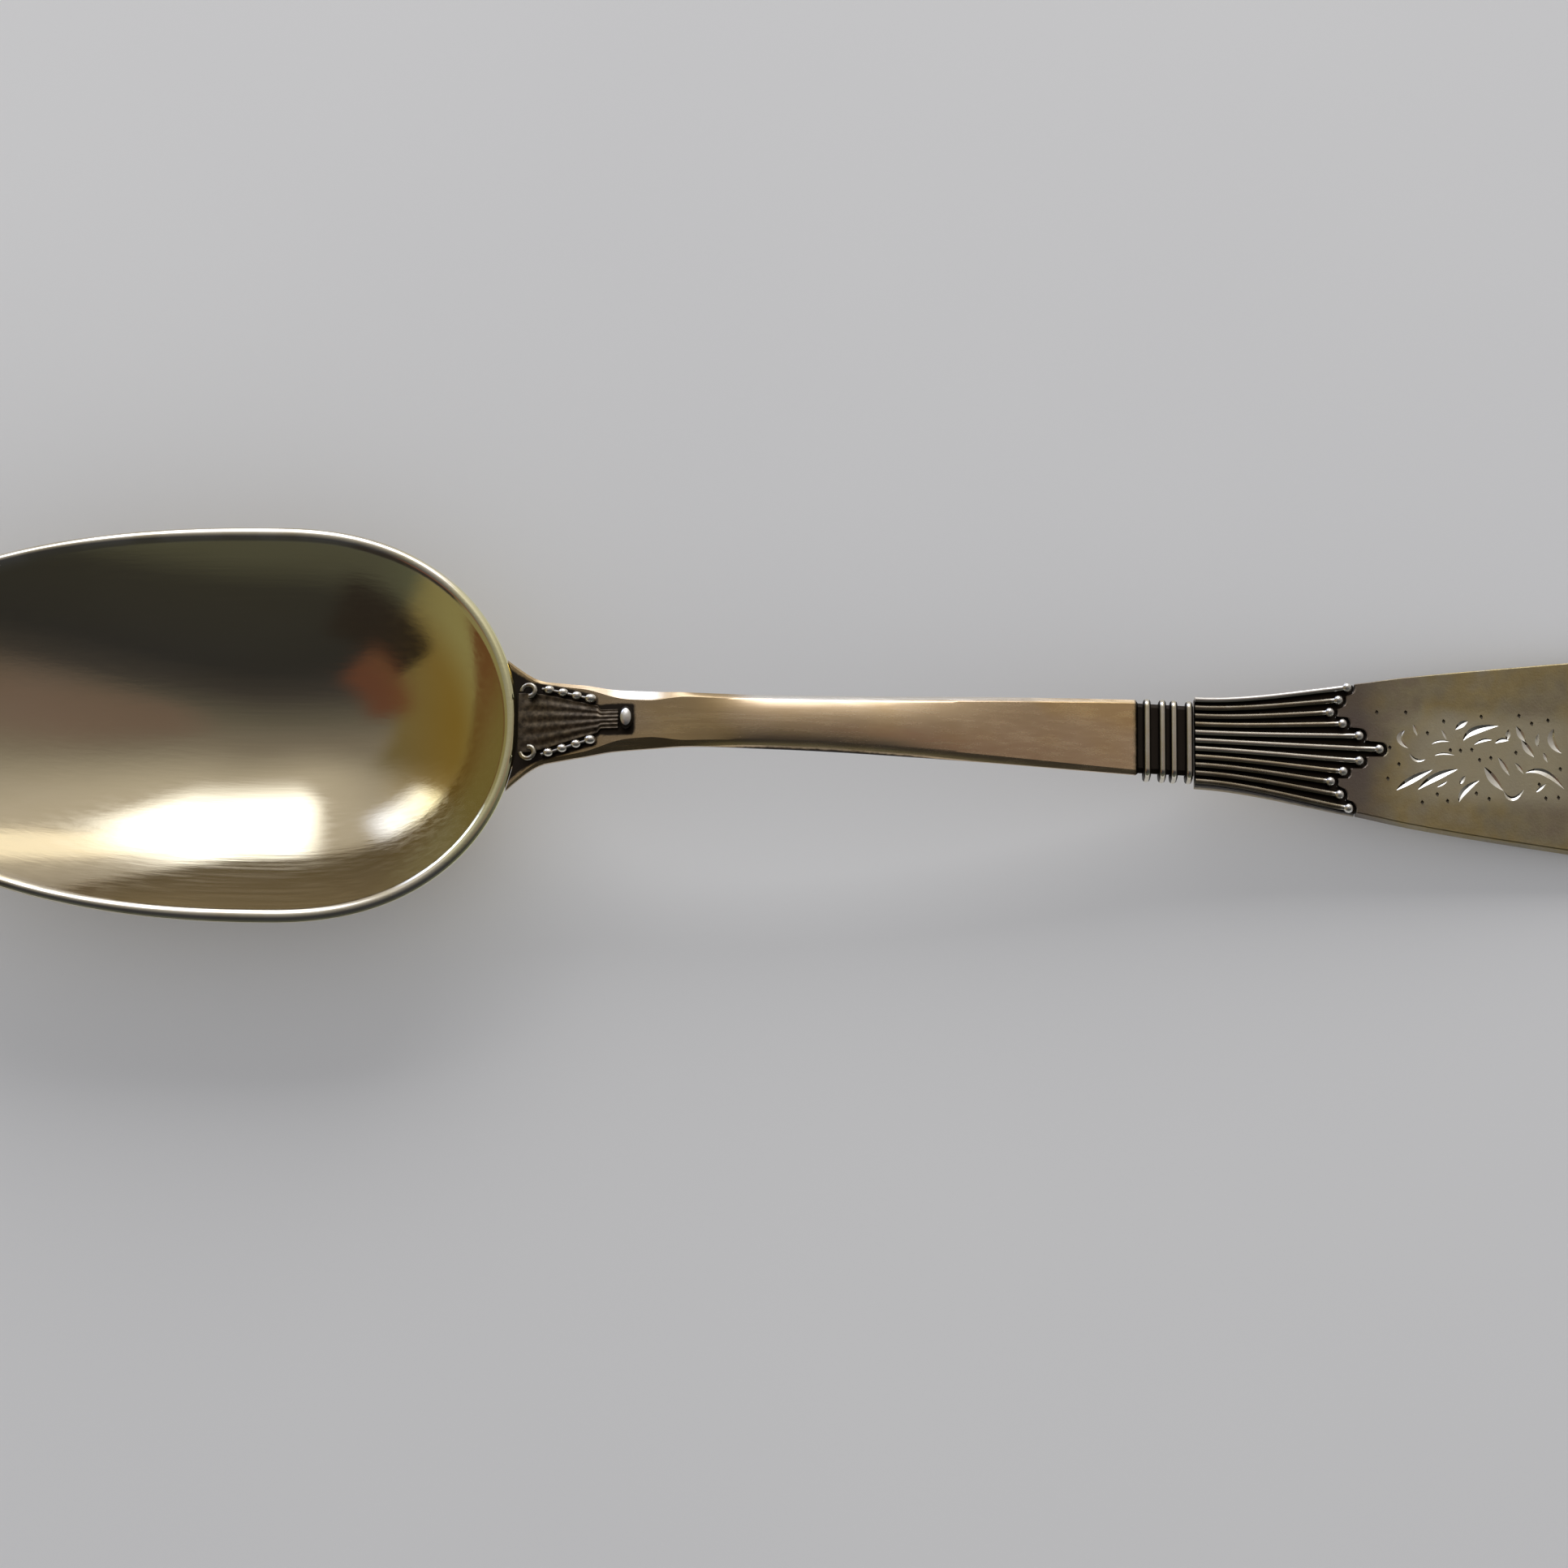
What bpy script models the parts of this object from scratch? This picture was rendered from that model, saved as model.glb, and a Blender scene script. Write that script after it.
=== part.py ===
"""Gold-washed silver teaspoon with a beaded tongue, a wire collar, a reeded neck and a leaf-shaped blade.

Units are metres. +X runs from the tip of the bowl to the end of the handle, +Y runs across the
spoon and +Z is up. The origin is on the table, under the middle of the spoon's length. The spoon
lies as it is used: on the worn spot under its bowl and on the end of its handle.
"""

import math

import bmesh
import bpy
from mathutils import Vector

# Lengths, from the bowl's tip to the handle's end
BOWL_LENGTH = 0.0547
STEM_LENGTH = 0.04805
COLLAR_LENGTH = 0.0044
BLADE_LENGTH = 0.04485  # with the reeded neck
SPOON_LENGTH = BOWL_LENGTH + STEM_LENGTH + COLLAR_LENGTH + BLADE_LENGTH
SPOON_END = SPOON_LENGTH / 2
HEEL_X = BOWL_LENGTH - SPOON_END
COLLAR_X = HEEL_X + STEM_LENGTH
NECK_X = COLLAR_X + COLLAR_LENGTH

SOLDER_GAP = 0.00005  # between soldered pieces

# Bowl
BOWL_WIDTH = 0.0316
BOWL_HEEL_REACH = 0.0193  # from the widest place back to the heel
BOWL_RIM_HEIGHT = 0.0087  # of the rim at the widest place
BOWL_TIP_LIFT = 0.0030  # how much higher the rim is at the tip
BOWL_HEEL_LIFT = 0.0004
BOWL_WALL = 0.0010  # at the bottom
BOWL_RIM_LAND = 0.0005  # width of the filed rim
BOWL_BELLY_REACH = 0.0240  # along the spoon, of the round bottom if it went on to the rim
BOWL_WORN_DEPTH = 0.00008  # rubbed off under the bowl
BOWL_TIP_FULLNESS = 2.25  # 2 is an ellipse, more is squarer
BOWL_HEEL_FULLNESS = 2.36
BOWL_FACETS = 64
BOWL_RINGS = 12
BOWL_HALF_WIDTH = BOWL_WIDTH / 2
BOWL_TIP_REACH = BOWL_LENGTH - BOWL_HEEL_REACH
BOWL_MIDDLE_X = HEEL_X - BOWL_HEEL_REACH
HEEL_HEIGHT = BOWL_RIM_HEIGHT + BOWL_HEEL_LIFT

# Arch of the handle, along its top
ARCH_HEEL_PULL = Vector((0.025, 0.0078))  # forward and up from the heel
ARCH_END_PULL = Vector((-0.053, 0.0025))  # back and up from the end

# Stem
ROOT_WIDTH = 0.0068
ROOT_FLARE = 0.0018  # on each side, where the root runs out along the bowl's rim
ROOT_FLARE_REACH = 0.0026
ROOT_FLARE_STATIONS = 3
SHOULDER_REACH = 0.0051  # from the heel
SHOULDER_WIDTH = 0.0057
THROAT_REACH = 0.0079  # from the heel to the hollow side of the root
THROAT_WIDTH = 0.0048
WAIST_REACH = 0.0151
WAIST_WIDTH = 0.0042
COLLAR_WIDTH = 0.0060
ROOT_THICKNESS = 0.0026
WAIST_THICKNESS = 0.0023
COLLAR_THICKNESS = 0.0021
STEM_CHAMFER = 0.00032
STEM_STATIONS = 20
STEM_ROWS = 6

# Collar
COLLAR_RECESS = 0.00045  # the wires' seat, below the stem's surface
COLLAR_WIRE_RADIUS = 0.0003
COLLAR_WIRE_PLACES = (0.0007, 0.0019, 0.0028, 0.0040)  # from the start of the collar
COLLAR_WIRE_BEND = 0.00045  # of the wire's middle line at a corner
COLLAR_BEND_STEPS = 3

# Reeded neck
NECK_START_WIDTH = 0.0070
NECK_END_WIDTH = 0.0102
NECK_THICKNESS = 0.0018
REEDS_EACH_SIDE = 5
REED_RADIUS = 0.00024
REED_STATIONS = 7
BEAD_RADIUS = 0.00038
BEAD_STEPS = 4
BEAD_END_RADIUS = 0.00005
BEAD_RISE_LENGTH = 0.0012  # over which a reed climbs to its bead
CROWN_REACH = (0.0146, 0.0130, 0.0117, 0.0107, 0.0114, 0.0121)  # neck to bead, middle reed first
CROWN_MARGIN = 0.0003  # bare ground round a bead
NECK_RECESS = 0.00045  # the ground, below the blade's surface
NECK_STATIONS = 6
CROWN_ROWS = 4 * REEDS_EACH_SIDE  # two from each reed to the next

# Blade
BLADE_WIDTH = 0.0163
BLADE_QUARTER_REACH = 0.0172  # from the neck, where the edges curve most
BLADE_QUARTER_WIDTH = 0.0120
BLADE_END_RUN = 0.0110  # from the widest place to the point
BLADE_POINT = 1.65  # 2 is a round end, less is more pointed
BLADE_THICKNESS = 0.0014
BLADE_END_THICKNESS = 0.0012
BLADE_STATIONS = 9
BLADE_END_STATIONS = 7
BLADE_SHOULDER_X = SPOON_END - BLADE_END_RUN

# Tongue
TONGUE_THICKNESS = 0.0003
TONGUE_STATIONS = 6
TONGUE_ROWS = 2
TONGUE_NECK_REACH = 0.0062  # from the heel to the step
TONGUE_LENGTH = 0.0078  # from the heel to the tip bead
TONGUE_START_WIDTH = 0.0048
TONGUE_STEP_WIDTH = 0.0022
TONGUE_NECK_WIDTH = 0.0015
TONGUE_BEAD_RADIUS = 0.00036
TONGUE_BEADS = 4
TONGUE_BEADING_START = 0.0019  # from the heel to the first bead
TONGUE_WIRE_RADIUS = 0.00012  # between the beads
TIP_BEAD_LENGTH = 0.0011
TIP_BEAD_WIDTH = 0.0018
TIP_BEAD_HEIGHT = 0.0009
TIP_BEAD_FACETS = 16
TIP_BEAD_RINGS = 10
SCROLL_RADIUS = 0.00058  # to the middle of the wire
SCROLL_WIRE_RADIUS = 0.00017
SCROLL_TURN = 1.55 * math.pi
SCROLL_DRAW_IN = 0.35  # share of its radius that the curl loses
SCROLL_STEPS = 10
SCROLL_REACH = 0.0009  # from the heel to the curl's middle

# Drop under the heel
DROP_LENGTH = 0.0100
DROP_WIDTH = 0.0062
DROP_END_THICKNESS = 0.0003
DROP_ROUNDING = 2.4  # 2 is an elliptical end, more is squarer
DROP_TAPER = 2.6  # how fast it thins under the bowl
DROP_EDGE_THINNING = 0.35  # share of the thickness lost at its edges
DROP_COLUMNS = 20
DROP_ROWS = 12

WIRE_BEVEL_RESOLUTION = 2
BISECTIONS = 40
SHARP_EDGE = math.radians(30)
CHAMFERED_EDGE = math.radians(50)


def eased(stations, x):
    """A curve through (x, value) stations that never swings past them: a monotone cubic."""
    if x <= stations[0][0]:
        return stations[0][1]
    if x >= stations[-1][0]:
        return stations[-1][1]
    rises = [
        (after[1] - before[1]) / (after[0] - before[0])
        for before, after in zip(stations, stations[1:])
    ]
    slopes = [0.0]
    for left, right in zip(rises, rises[1:]):
        slopes.append(2 * left * right / (left + right) if left * right > 0 else 0.0)
    slopes.append(rises[-1])
    i = max(k for k in range(len(rises)) if stations[k][0] <= x)
    (x0, y0), (x1, y1) = stations[i], stations[i + 1]
    run = x1 - x0
    t = (x - x0) / run
    return (
        y0 * (1 + 2 * t) * (1 - t) ** 2
        + slopes[i] * run * t * (1 - t) ** 2
        + y1 * t * t * (3 - 2 * t)
        + slopes[i + 1] * run * t * t * (t - 1)
    )


def arch_top(x):
    """Height of the handle's top along the middle: one Bezier curve from heel to end."""
    if x < HEEL_X:
        return HEEL_HEIGHT + (x - HEEL_X) * ARCH_HEEL_PULL.y / ARCH_HEEL_PULL.x
    start = Vector((HEEL_X, HEEL_HEIGHT))
    end = Vector((SPOON_END, BLADE_END_THICKNESS))
    corners = (start, start + ARCH_HEEL_PULL, end + ARCH_END_PULL, end)

    def at(t):
        weights = ((1 - t) ** 3, 3 * t * (1 - t) ** 2, 3 * t * t * (1 - t), t**3)
        return sum((w * c for w, c in zip(weights, corners)), Vector((0, 0)))

    low, high = 0.0, 1.0
    for _ in range(BISECTIONS):
        middle = (low + high) / 2
        if at(middle).x < x:
            low = middle
        else:
            high = middle
    return at(high).y


def stem_half_width(x):
    flare = ROOT_FLARE * max(0.0, 1 - (x - HEEL_X) / ROOT_FLARE_REACH) ** 2
    return flare + eased(
        (
            (HEEL_X, ROOT_WIDTH / 2),
            (HEEL_X + SHOULDER_REACH, SHOULDER_WIDTH / 2),
            (HEEL_X + THROAT_REACH, THROAT_WIDTH / 2),
            (HEEL_X + WAIST_REACH, WAIST_WIDTH / 2),
            (COLLAR_X, COLLAR_WIDTH / 2),
        ),
        x,
    )


def stem_thickness(x):
    return eased(
        (
            (HEEL_X, ROOT_THICKNESS),
            (HEEL_X + WAIST_REACH, WAIST_THICKNESS),
            (COLLAR_X, COLLAR_THICKNESS),
        ),
        x,
    )


def handle_half_width(x):
    """Of the neck and the blade, as one outline."""
    if x > BLADE_SHOULDER_X:
        along = min(1.0, (x - BLADE_SHOULDER_X) / BLADE_END_RUN)
        return BLADE_WIDTH / 2 * (1 - along**2) ** (1 / BLADE_POINT)
    return eased(
        (
            (NECK_X, NECK_START_WIDTH / 2),
            (NECK_X + CROWN_REACH[-1], NECK_END_WIDTH / 2),
            (NECK_X + BLADE_QUARTER_REACH, BLADE_QUARTER_WIDTH / 2),
            (BLADE_SHOULDER_X, BLADE_WIDTH / 2),
        ),
        x,
    )


def handle_thickness(x):
    return eased(
        (
            (NECK_X, NECK_THICKNESS),
            (NECK_X + CROWN_REACH[0], BLADE_THICKNESS),
            (SPOON_END, BLADE_END_THICKNESS),
        ),
        x,
    )


def bowl_edge(angle):
    """From the bowl's middle to its outline, as (along, across)."""
    along = math.cos(angle)
    if along < 0:
        reach, fullness = -BOWL_TIP_REACH, BOWL_TIP_FULLNESS
    else:
        reach, fullness = BOWL_HEEL_REACH, BOWL_HEEL_FULLNESS
    return Vector((reach * abs(along) ** (2 / fullness), BOWL_HALF_WIDTH * math.sin(angle)))


def bowl_ring(share, angle, edge):
    """A point on the ring at this share of the way out: round at the bottom, egg-shaped at the edge."""
    belly = share * (1 - share) * BOWL_BELLY_REACH * math.cos(angle)
    return Vector((belly + share * share * edge.x, share * edge.y))


def rim_height(along):
    """Of the rim, by its distance from the bowl's middle towards the heel."""
    if along < 0:
        return BOWL_RIM_HEIGHT + BOWL_TIP_LIFT * (along / BOWL_TIP_REACH) ** 2
    return BOWL_RIM_HEIGHT + BOWL_HEEL_LIFT * (along / BOWL_HEEL_REACH) ** 2


def dish(share):
    """Rise of a round dish from 0 at its middle to 1 at its rim."""
    depth = BOWL_RIM_HEIGHT / BOWL_HALF_WIDTH
    curve = (1 + depth * depth) / (2 * depth)
    return (curve - math.sqrt(curve * curve - share * share)) / depth


def bowl_outside(share, angle):
    """A point of the bowl's outer face, worn flat where it rubs."""
    edge = bowl_edge(angle)
    height = rim_height(edge.x) + BOWL_WORN_DEPTH
    z = max(0.0, height * dish(share) - BOWL_WORN_DEPTH)
    ring = bowl_ring(share, angle, edge)
    return Vector((BOWL_MIDDLE_X + ring.x, ring.y, z))


def bowl_inside(share, angle):
    edge = bowl_edge(angle)
    z = BOWL_WALL + (rim_height(edge.x) - BOWL_WALL) * dish(share)
    edge *= 1 - BOWL_RIM_LAND / edge.length
    ring = bowl_ring(share, angle, edge)
    return Vector((BOWL_MIDDLE_X + ring.x, ring.y, z))


def under_bowl(x, y):
    """Height of the bowl's outer face over a point of the table on the heel side."""
    across = abs(y) / BOWL_HALF_WIDTH
    low, high = across + 1e-6, 1.0
    for _ in range(BISECTIONS):
        share = (low + high) / 2
        angle = math.asin(across / share)
        if BOWL_MIDDLE_X + bowl_ring(share, angle, bowl_edge(angle)).x < x:
            low = share
        else:
            high = share
    return bowl_outside(share, angle).z


def heel_line(y):
    """Where the bowl's outline ends, on the heel side."""
    across = min(1.0, abs(y) / BOWL_HALF_WIDTH)
    return BOWL_MIDDLE_X + BOWL_HEEL_REACH * (1 - across * across) ** (1 / BOWL_HEEL_FULLNESS)


def metal(name, colour, roughness):
    material = bpy.data.materials.new(name)
    material.use_nodes = True
    shader = material.node_tree.nodes["Principled BSDF"]
    shader.inputs["Base Color"].default_value = (*colour, 1)
    shader.inputs["Metallic"].default_value = 1.0
    shader.inputs["Roughness"].default_value = roughness
    return material


def gold_wash():
    return metal("gold_wash", (0.80, 0.64, 0.33), 0.12)


def worn_gilt():
    return metal("worn_gilt", (0.66, 0.53, 0.36), 0.22)


def bright_silver():
    return metal("bright_silver", (0.86, 0.81, 0.70), 0.16)


def oxidised_silver():
    return metal("oxidised_silver", (0.12, 0.10, 0.08), 0.45)


def satin_gilt():
    return metal("satin_gilt", (0.42, 0.36, 0.25), 0.42)


def piece(name, data, material, place):
    """A sub-part whose data is in the spoon's frame, set down with its own origin at place."""
    shift = Vector(place)
    if isinstance(data, bmesh.types.BMesh):
        bmesh.ops.translate(data, verts=data.verts, vec=-shift)
        mesh = bpy.data.meshes.new(name)
        data.to_mesh(mesh)
        data.free()
        data = mesh
        data.shade_smooth()
        data.set_sharp_from_angle(angle=SHARP_EDGE)
    else:
        for point in data.splines[0].points:
            point.co = (*(Vector(point.co[:3]) - shift), 1)
    obj = bpy.data.objects.new(name, data)
    obj.location = shift
    obj.parent = spoon
    obj.data.materials.append(material)
    parts.objects.link(obj)
    return obj


def chamfer(obj, width):
    bevel = obj.modifiers.new("chamfer", "BEVEL")
    bevel.width = width
    bevel.segments = 1
    bevel.limit_method = "ANGLE"
    bevel.angle_limit = CHAMFERED_EDGE


def wire(name, points, radii, cyclic=False):
    """Curve data of a round wire through points, with a radius at each."""
    curve = bpy.data.curves.new(name, "CURVE")
    curve.dimensions = "3D"
    curve.bevel_depth = 1.0
    curve.bevel_resolution = WIRE_BEVEL_RESOLUTION
    curve.use_fill_caps = not cyclic
    spline = curve.splines.new("POLY")
    spline.points.add(len(points) - 1)
    spline.use_cyclic_u = cyclic
    for control, point, radius in zip(spline.points, points, radii):
        control.co = (*point, 1)
        control.radius = radius
    return curve


def plate(columns, rows, place_top, place_bottom):
    """A closed plate. Each place function takes a column number and a share across, -1 to 1."""
    plate_mesh = bmesh.new()
    bmesh.ops.create_grid(plate_mesh, x_segments=columns, y_segments=rows, size=1)
    below = bmesh.ops.extrude_face_region(plate_mesh, geom=list(plate_mesh.faces))["geom"]
    below = {v for v in below if isinstance(v, bmesh.types.BMVert)}
    for v in plate_mesh.verts:
        place = place_bottom if v in below else place_top
        v.co = place(round((v.co.x + 1) / 2 * columns), v.co.y)
    bmesh.ops.remove_doubles(plate_mesh, verts=plate_mesh.verts, dist=1e-6)
    bmesh.ops.recalc_face_normals(plate_mesh, faces=plate_mesh.faces)
    return plate_mesh


def make_bowl():
    """A ball with its upper half pressed down inside the lower one."""
    levels = 2 * BOWL_RINGS + 1
    shell = bmesh.new()
    bmesh.ops.create_uvsphere(shell, u_segments=BOWL_FACETS, v_segments=levels, radius=1)
    for v in shell.verts:
        level = round(levels * math.acos(max(-1.0, min(1.0, -v.co.z))) / math.pi)
        angle = math.atan2(v.co.y, v.co.x)
        if level <= BOWL_RINGS:
            v.co = bowl_outside(level / BOWL_RINGS, angle)
        else:
            v.co = bowl_inside((levels - level) / BOWL_RINGS, angle)
    bmesh.ops.recalc_face_normals(shell, faces=shell.faces)
    piece("bowl", shell, gold_wash(), (BOWL_MIDDLE_X, 0, 0))


def make_back_drop():
    start = HEEL_X - DROP_LENGTH

    def outline(i, across):
        # The far end is rounded: the outer rows start later.
        nose = DROP_WIDTH / 2 * (1 - (1 - abs(across) ** DROP_ROUNDING) ** (1 / DROP_ROUNDING))
        y = across * DROP_WIDTH / 2
        first = start + nose
        last = heel_line(y)
        return first + (last - first) * i / DROP_COLUMNS, y

    def top(i, across):
        x, y = outline(i, across)
        return Vector((x, y, under_bowl(x, y) - SOLDER_GAP))

    def bottom(i, across):
        x, y = outline(i, across)
        near_stem = max(0.0, (x - start) / DROP_LENGTH)
        root = arch_top(HEEL_X) - stem_thickness(HEEL_X)
        deepest = under_bowl(HEEL_X, 0) - root
        thickness = DROP_END_THICKNESS + (deepest - DROP_END_THICKNESS) * near_stem**DROP_TAPER
        thickness *= 1 - DROP_EDGE_THINNING * across * across
        return Vector((x, y, under_bowl(x, y) - SOLDER_GAP - thickness))

    drop = plate(DROP_COLUMNS, DROP_ROWS, top, bottom)
    piece("back_drop", drop, worn_gilt(), (HEEL_X, 0, HEEL_HEIGHT))


def make_stem():
    """The root follows the bowl's heel, and the far end is cut back for the collar wires."""
    flare_end = HEEL_X + ROOT_FLARE_REACH
    sections = [
        (HEEL_X + ROOT_FLARE_REACH * i / ROOT_FLARE_STATIONS, 0.0) for i in range(ROOT_FLARE_STATIONS)
    ]
    sections += [
        (flare_end + (COLLAR_X - flare_end) * i / STEM_STATIONS, 0.0) for i in range(STEM_STATIONS + 1)
    ]
    sections += [(COLLAR_X, COLLAR_RECESS), (NECK_X - SOLDER_GAP, COLLAR_RECESS)]

    def outline(i, across):
        x, inset = sections[i]
        y = across * (stem_half_width(x) - inset)
        fade = max(0.0, 1 - (x - HEEL_X) / THROAT_REACH)
        return x + fade * (heel_line(y) + SOLDER_GAP - HEEL_X), y, inset

    def top(i, across):
        x, y, inset = outline(i, across)
        return Vector((x, y, arch_top(x) - inset))

    def bottom(i, across):
        x, y, inset = outline(i, across)
        return Vector((x, y, arch_top(x) - stem_thickness(x) + inset))

    bar = plate(len(sections) - 1, STEM_ROWS, top, bottom)
    stem = piece("stem", bar, worn_gilt(), (HEEL_X, 0, HEEL_HEIGHT))
    chamfer(stem, STEM_CHAMFER)


def make_collar():
    """Four round wires, each closed round the stem's seat."""
    material = bright_silver()
    for number, place in enumerate(COLLAR_WIRE_PLACES, start=1):
        x = COLLAR_X + place
        clear = SOLDER_GAP + COLLAR_WIRE_RADIUS
        across = COLLAR_WIDTH / 2 - COLLAR_RECESS + clear
        high = arch_top(x) - COLLAR_RECESS + clear
        low = arch_top(x) - COLLAR_THICKNESS + COLLAR_RECESS - clear
        bend = COLLAR_WIRE_BEND
        points = []
        for quarter, (side, level) in enumerate(((1, high), (-1, high), (-1, low), (1, low))):
            y = side * (across - bend)
            z = level - bend if level == high else level + bend
            for step in range(COLLAR_BEND_STEPS + 1):
                turn = math.pi / 2 * (quarter + step / COLLAR_BEND_STEPS)
                points.append((x, y + bend * math.cos(turn), z + bend * math.sin(turn)))
        name = f"collar_wire_{number}"
        ring = wire(name, points, [COLLAR_WIRE_RADIUS] * len(points), cyclic=True)
        piece(name, ring, material, (x, 0, high))


def bead_places():
    """Middle of each reed's bead, from the right edge (-Y) to the left."""
    places = []
    for number in range(-REEDS_EACH_SIDE, REEDS_EACH_SIDE + 1):
        x = NECK_X + CROWN_REACH[abs(number)]
        places.append((x, reed_across(number, x)))
    return places


def reed_across(number, x):
    """The reeds fan out with the neck, and the outer ones run along its edges."""
    return number / REEDS_EACH_SIDE * (handle_half_width(x) - REED_RADIUS)


def crown_line(across):
    """Where the neck ends and the blade begins, by the share across: a scallop round each bead."""
    places = bead_places()
    number = (across + 1) * REEDS_EACH_SIDE
    nearest = sorted({math.floor(number + 1e-6), math.ceil(number - 1e-6)})
    reach = max(places[k][0] for k in nearest)
    return reach + CROWN_MARGIN + (BEAD_RADIUS if len(nearest) == 1 else 0.0)


def make_reed_panel():
    def outline(i, across):
        start = NECK_X + SOLDER_GAP
        x = start + (crown_line(across) - start) * i / NECK_STATIONS
        return x, across * handle_half_width(x)

    def top(i, across):
        x, y = outline(i, across)
        return Vector((x, y, arch_top(x) - NECK_RECESS))

    def bottom(i, across):
        x, y = outline(i, across)
        return Vector((x, y, arch_top(x) - handle_thickness(x)))

    panel = plate(NECK_STATIONS, CROWN_ROWS, top, bottom)
    piece("reed_panel", panel, oxidised_silver(), (NECK_X, 0, arch_top(NECK_X)))


def make_reeds():
    """Each reed is a drawn wire that swells to a bead at its end."""
    material = bright_silver()
    for number in range(-REEDS_EACH_SIDE, REEDS_EACH_SIDE + 1):
        start = NECK_X + SOLDER_GAP
        bead_x = NECK_X + CROWN_REACH[abs(number)]
        neck_end = bead_x - BEAD_RADIUS
        stations = [
            (start + (neck_end - start) * i / REED_STATIONS, REED_RADIUS)
            for i in range(REED_STATIONS)
        ]
        for step in range(2 * BEAD_STEPS + 1):
            turn = math.pi * step / (2 * BEAD_STEPS)
            least = REED_RADIUS if step < BEAD_STEPS else BEAD_END_RADIUS
            radius = max(least, BEAD_RADIUS * math.sin(turn))
            stations.append((bead_x - BEAD_RADIUS * math.cos(turn), radius))
        points = []
        for x, _ in stations:
            climb = max(0.0, min(1.0, 1 - (bead_x - x) / BEAD_RISE_LENGTH))
            lift = REED_RADIUS + (BEAD_RADIUS - REED_RADIUS) * climb
            y = reed_across(number, min(x, bead_x))
            points.append((x, y, arch_top(x) - NECK_RECESS + SOLDER_GAP + lift))
        name = f"reed_{number + REEDS_EACH_SIDE + 1:02d}"
        reed = wire(name, points, [radius for _, radius in stations])
        piece(name, reed, material, points[0])


def make_blade():
    straight = [i / BLADE_STATIONS for i in range(BLADE_STATIONS + 1)]
    rounded = [
        math.sin(math.pi / 2 * i / BLADE_END_STATIONS) for i in range(1, BLADE_END_STATIONS + 1)
    ]

    def outline(i, across):
        if i < len(straight):
            start = crown_line(across) + SOLDER_GAP
            x = start + (BLADE_SHOULDER_X - start) * straight[i]
        else:
            x = BLADE_SHOULDER_X + BLADE_END_RUN * rounded[i - len(straight)]
        return x, across * handle_half_width(x)

    def top(i, across):
        x, y = outline(i, across)
        return Vector((x, y, arch_top(x)))

    def bottom(i, across):
        x, y = outline(i, across)
        return Vector((x, y, arch_top(x) - handle_thickness(x)))

    blade = plate(len(straight) + len(rounded) - 1, CROWN_ROWS, top, bottom)
    piece("blade", blade, satin_gilt(), (NECK_X, 0, arch_top(NECK_X)))


def tongue_half_width(x):
    return eased(
        (
            (HEEL_X, TONGUE_START_WIDTH / 2),
            (HEEL_X + TONGUE_NECK_REACH, TONGUE_STEP_WIDTH / 2),
        ),
        x,
    )


def make_tongue():
    """A fluted plate on the stem's root, with a step in to a narrow neck."""
    start = HEEL_X + SOLDER_GAP
    step_in = HEEL_X + TONGUE_NECK_REACH
    sections = []
    for i in range(TONGUE_STATIONS + 1):
        x = start + (step_in - start) * i / TONGUE_STATIONS
        sections.append((x, tongue_half_width(x)))
    sections.append((step_in, TONGUE_NECK_WIDTH / 2))
    sections.append((HEEL_X + TONGUE_LENGTH, TONGUE_NECK_WIDTH / 2))

    def surface(i, across, height):
        x, half = sections[i]
        return Vector((x, across * half, arch_top(x) + height))

    def top(i, across):
        return surface(i, across, SOLDER_GAP + TONGUE_THICKNESS)

    def bottom(i, across):
        return surface(i, across, SOLDER_GAP)

    tongue = plate(len(sections) - 1, TONGUE_ROWS, top, bottom)
    piece("tongue", tongue, oxidised_silver(), (HEEL_X, 0, HEEL_HEIGHT))


def make_tongue_beading():
    """A beaded wire along each edge of the tongue, on the stem."""
    material = bright_silver()
    pitch = (TONGUE_NECK_REACH - TONGUE_BEADING_START) / TONGUE_BEADS
    for side, name in ((1, "tongue_beading_left"), (-1, "tongue_beading_right")):
        points, radii = [], []
        for bead in range(TONGUE_BEADS):
            for step in range(2 * BEAD_STEPS):
                phase = step / (2 * BEAD_STEPS)
                x = HEEL_X + TONGUE_BEADING_START + pitch * (bead + phase)
                radius = max(TONGUE_WIRE_RADIUS, TONGUE_BEAD_RADIUS * math.sin(math.pi * phase))
                y = tongue_half_width(x) + TONGUE_BEAD_RADIUS + SOLDER_GAP
                points.append((x, side * y, arch_top(x) + SOLDER_GAP + TONGUE_BEAD_RADIUS))
                radii.append(radius)
        piece(name, wire(name, points, radii), material, points[0])


def make_tongue_scrolls():
    material = bright_silver()
    for side, name in ((1, "tongue_scroll_left"), (-1, "tongue_scroll_right")):
        x = HEEL_X + SCROLL_REACH
        y = TONGUE_START_WIDTH / 2
        points, radii = [], []
        for step in range(SCROLL_STEPS + 1):
            share = step / SCROLL_STEPS
            turn = SCROLL_TURN * share
            curl = SCROLL_RADIUS * (1 - SCROLL_DRAW_IN * share)
            along = x - curl * math.cos(turn)
            tongue_top = arch_top(along) + SOLDER_GAP + TONGUE_THICKNESS
            height = tongue_top + SOLDER_GAP + SCROLL_WIRE_RADIUS
            points.append((along, side * (y + curl * math.sin(turn)), height))
            radii.append(SCROLL_WIRE_RADIUS)
        piece(name, wire(name, points, radii), material, points[0])


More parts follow.
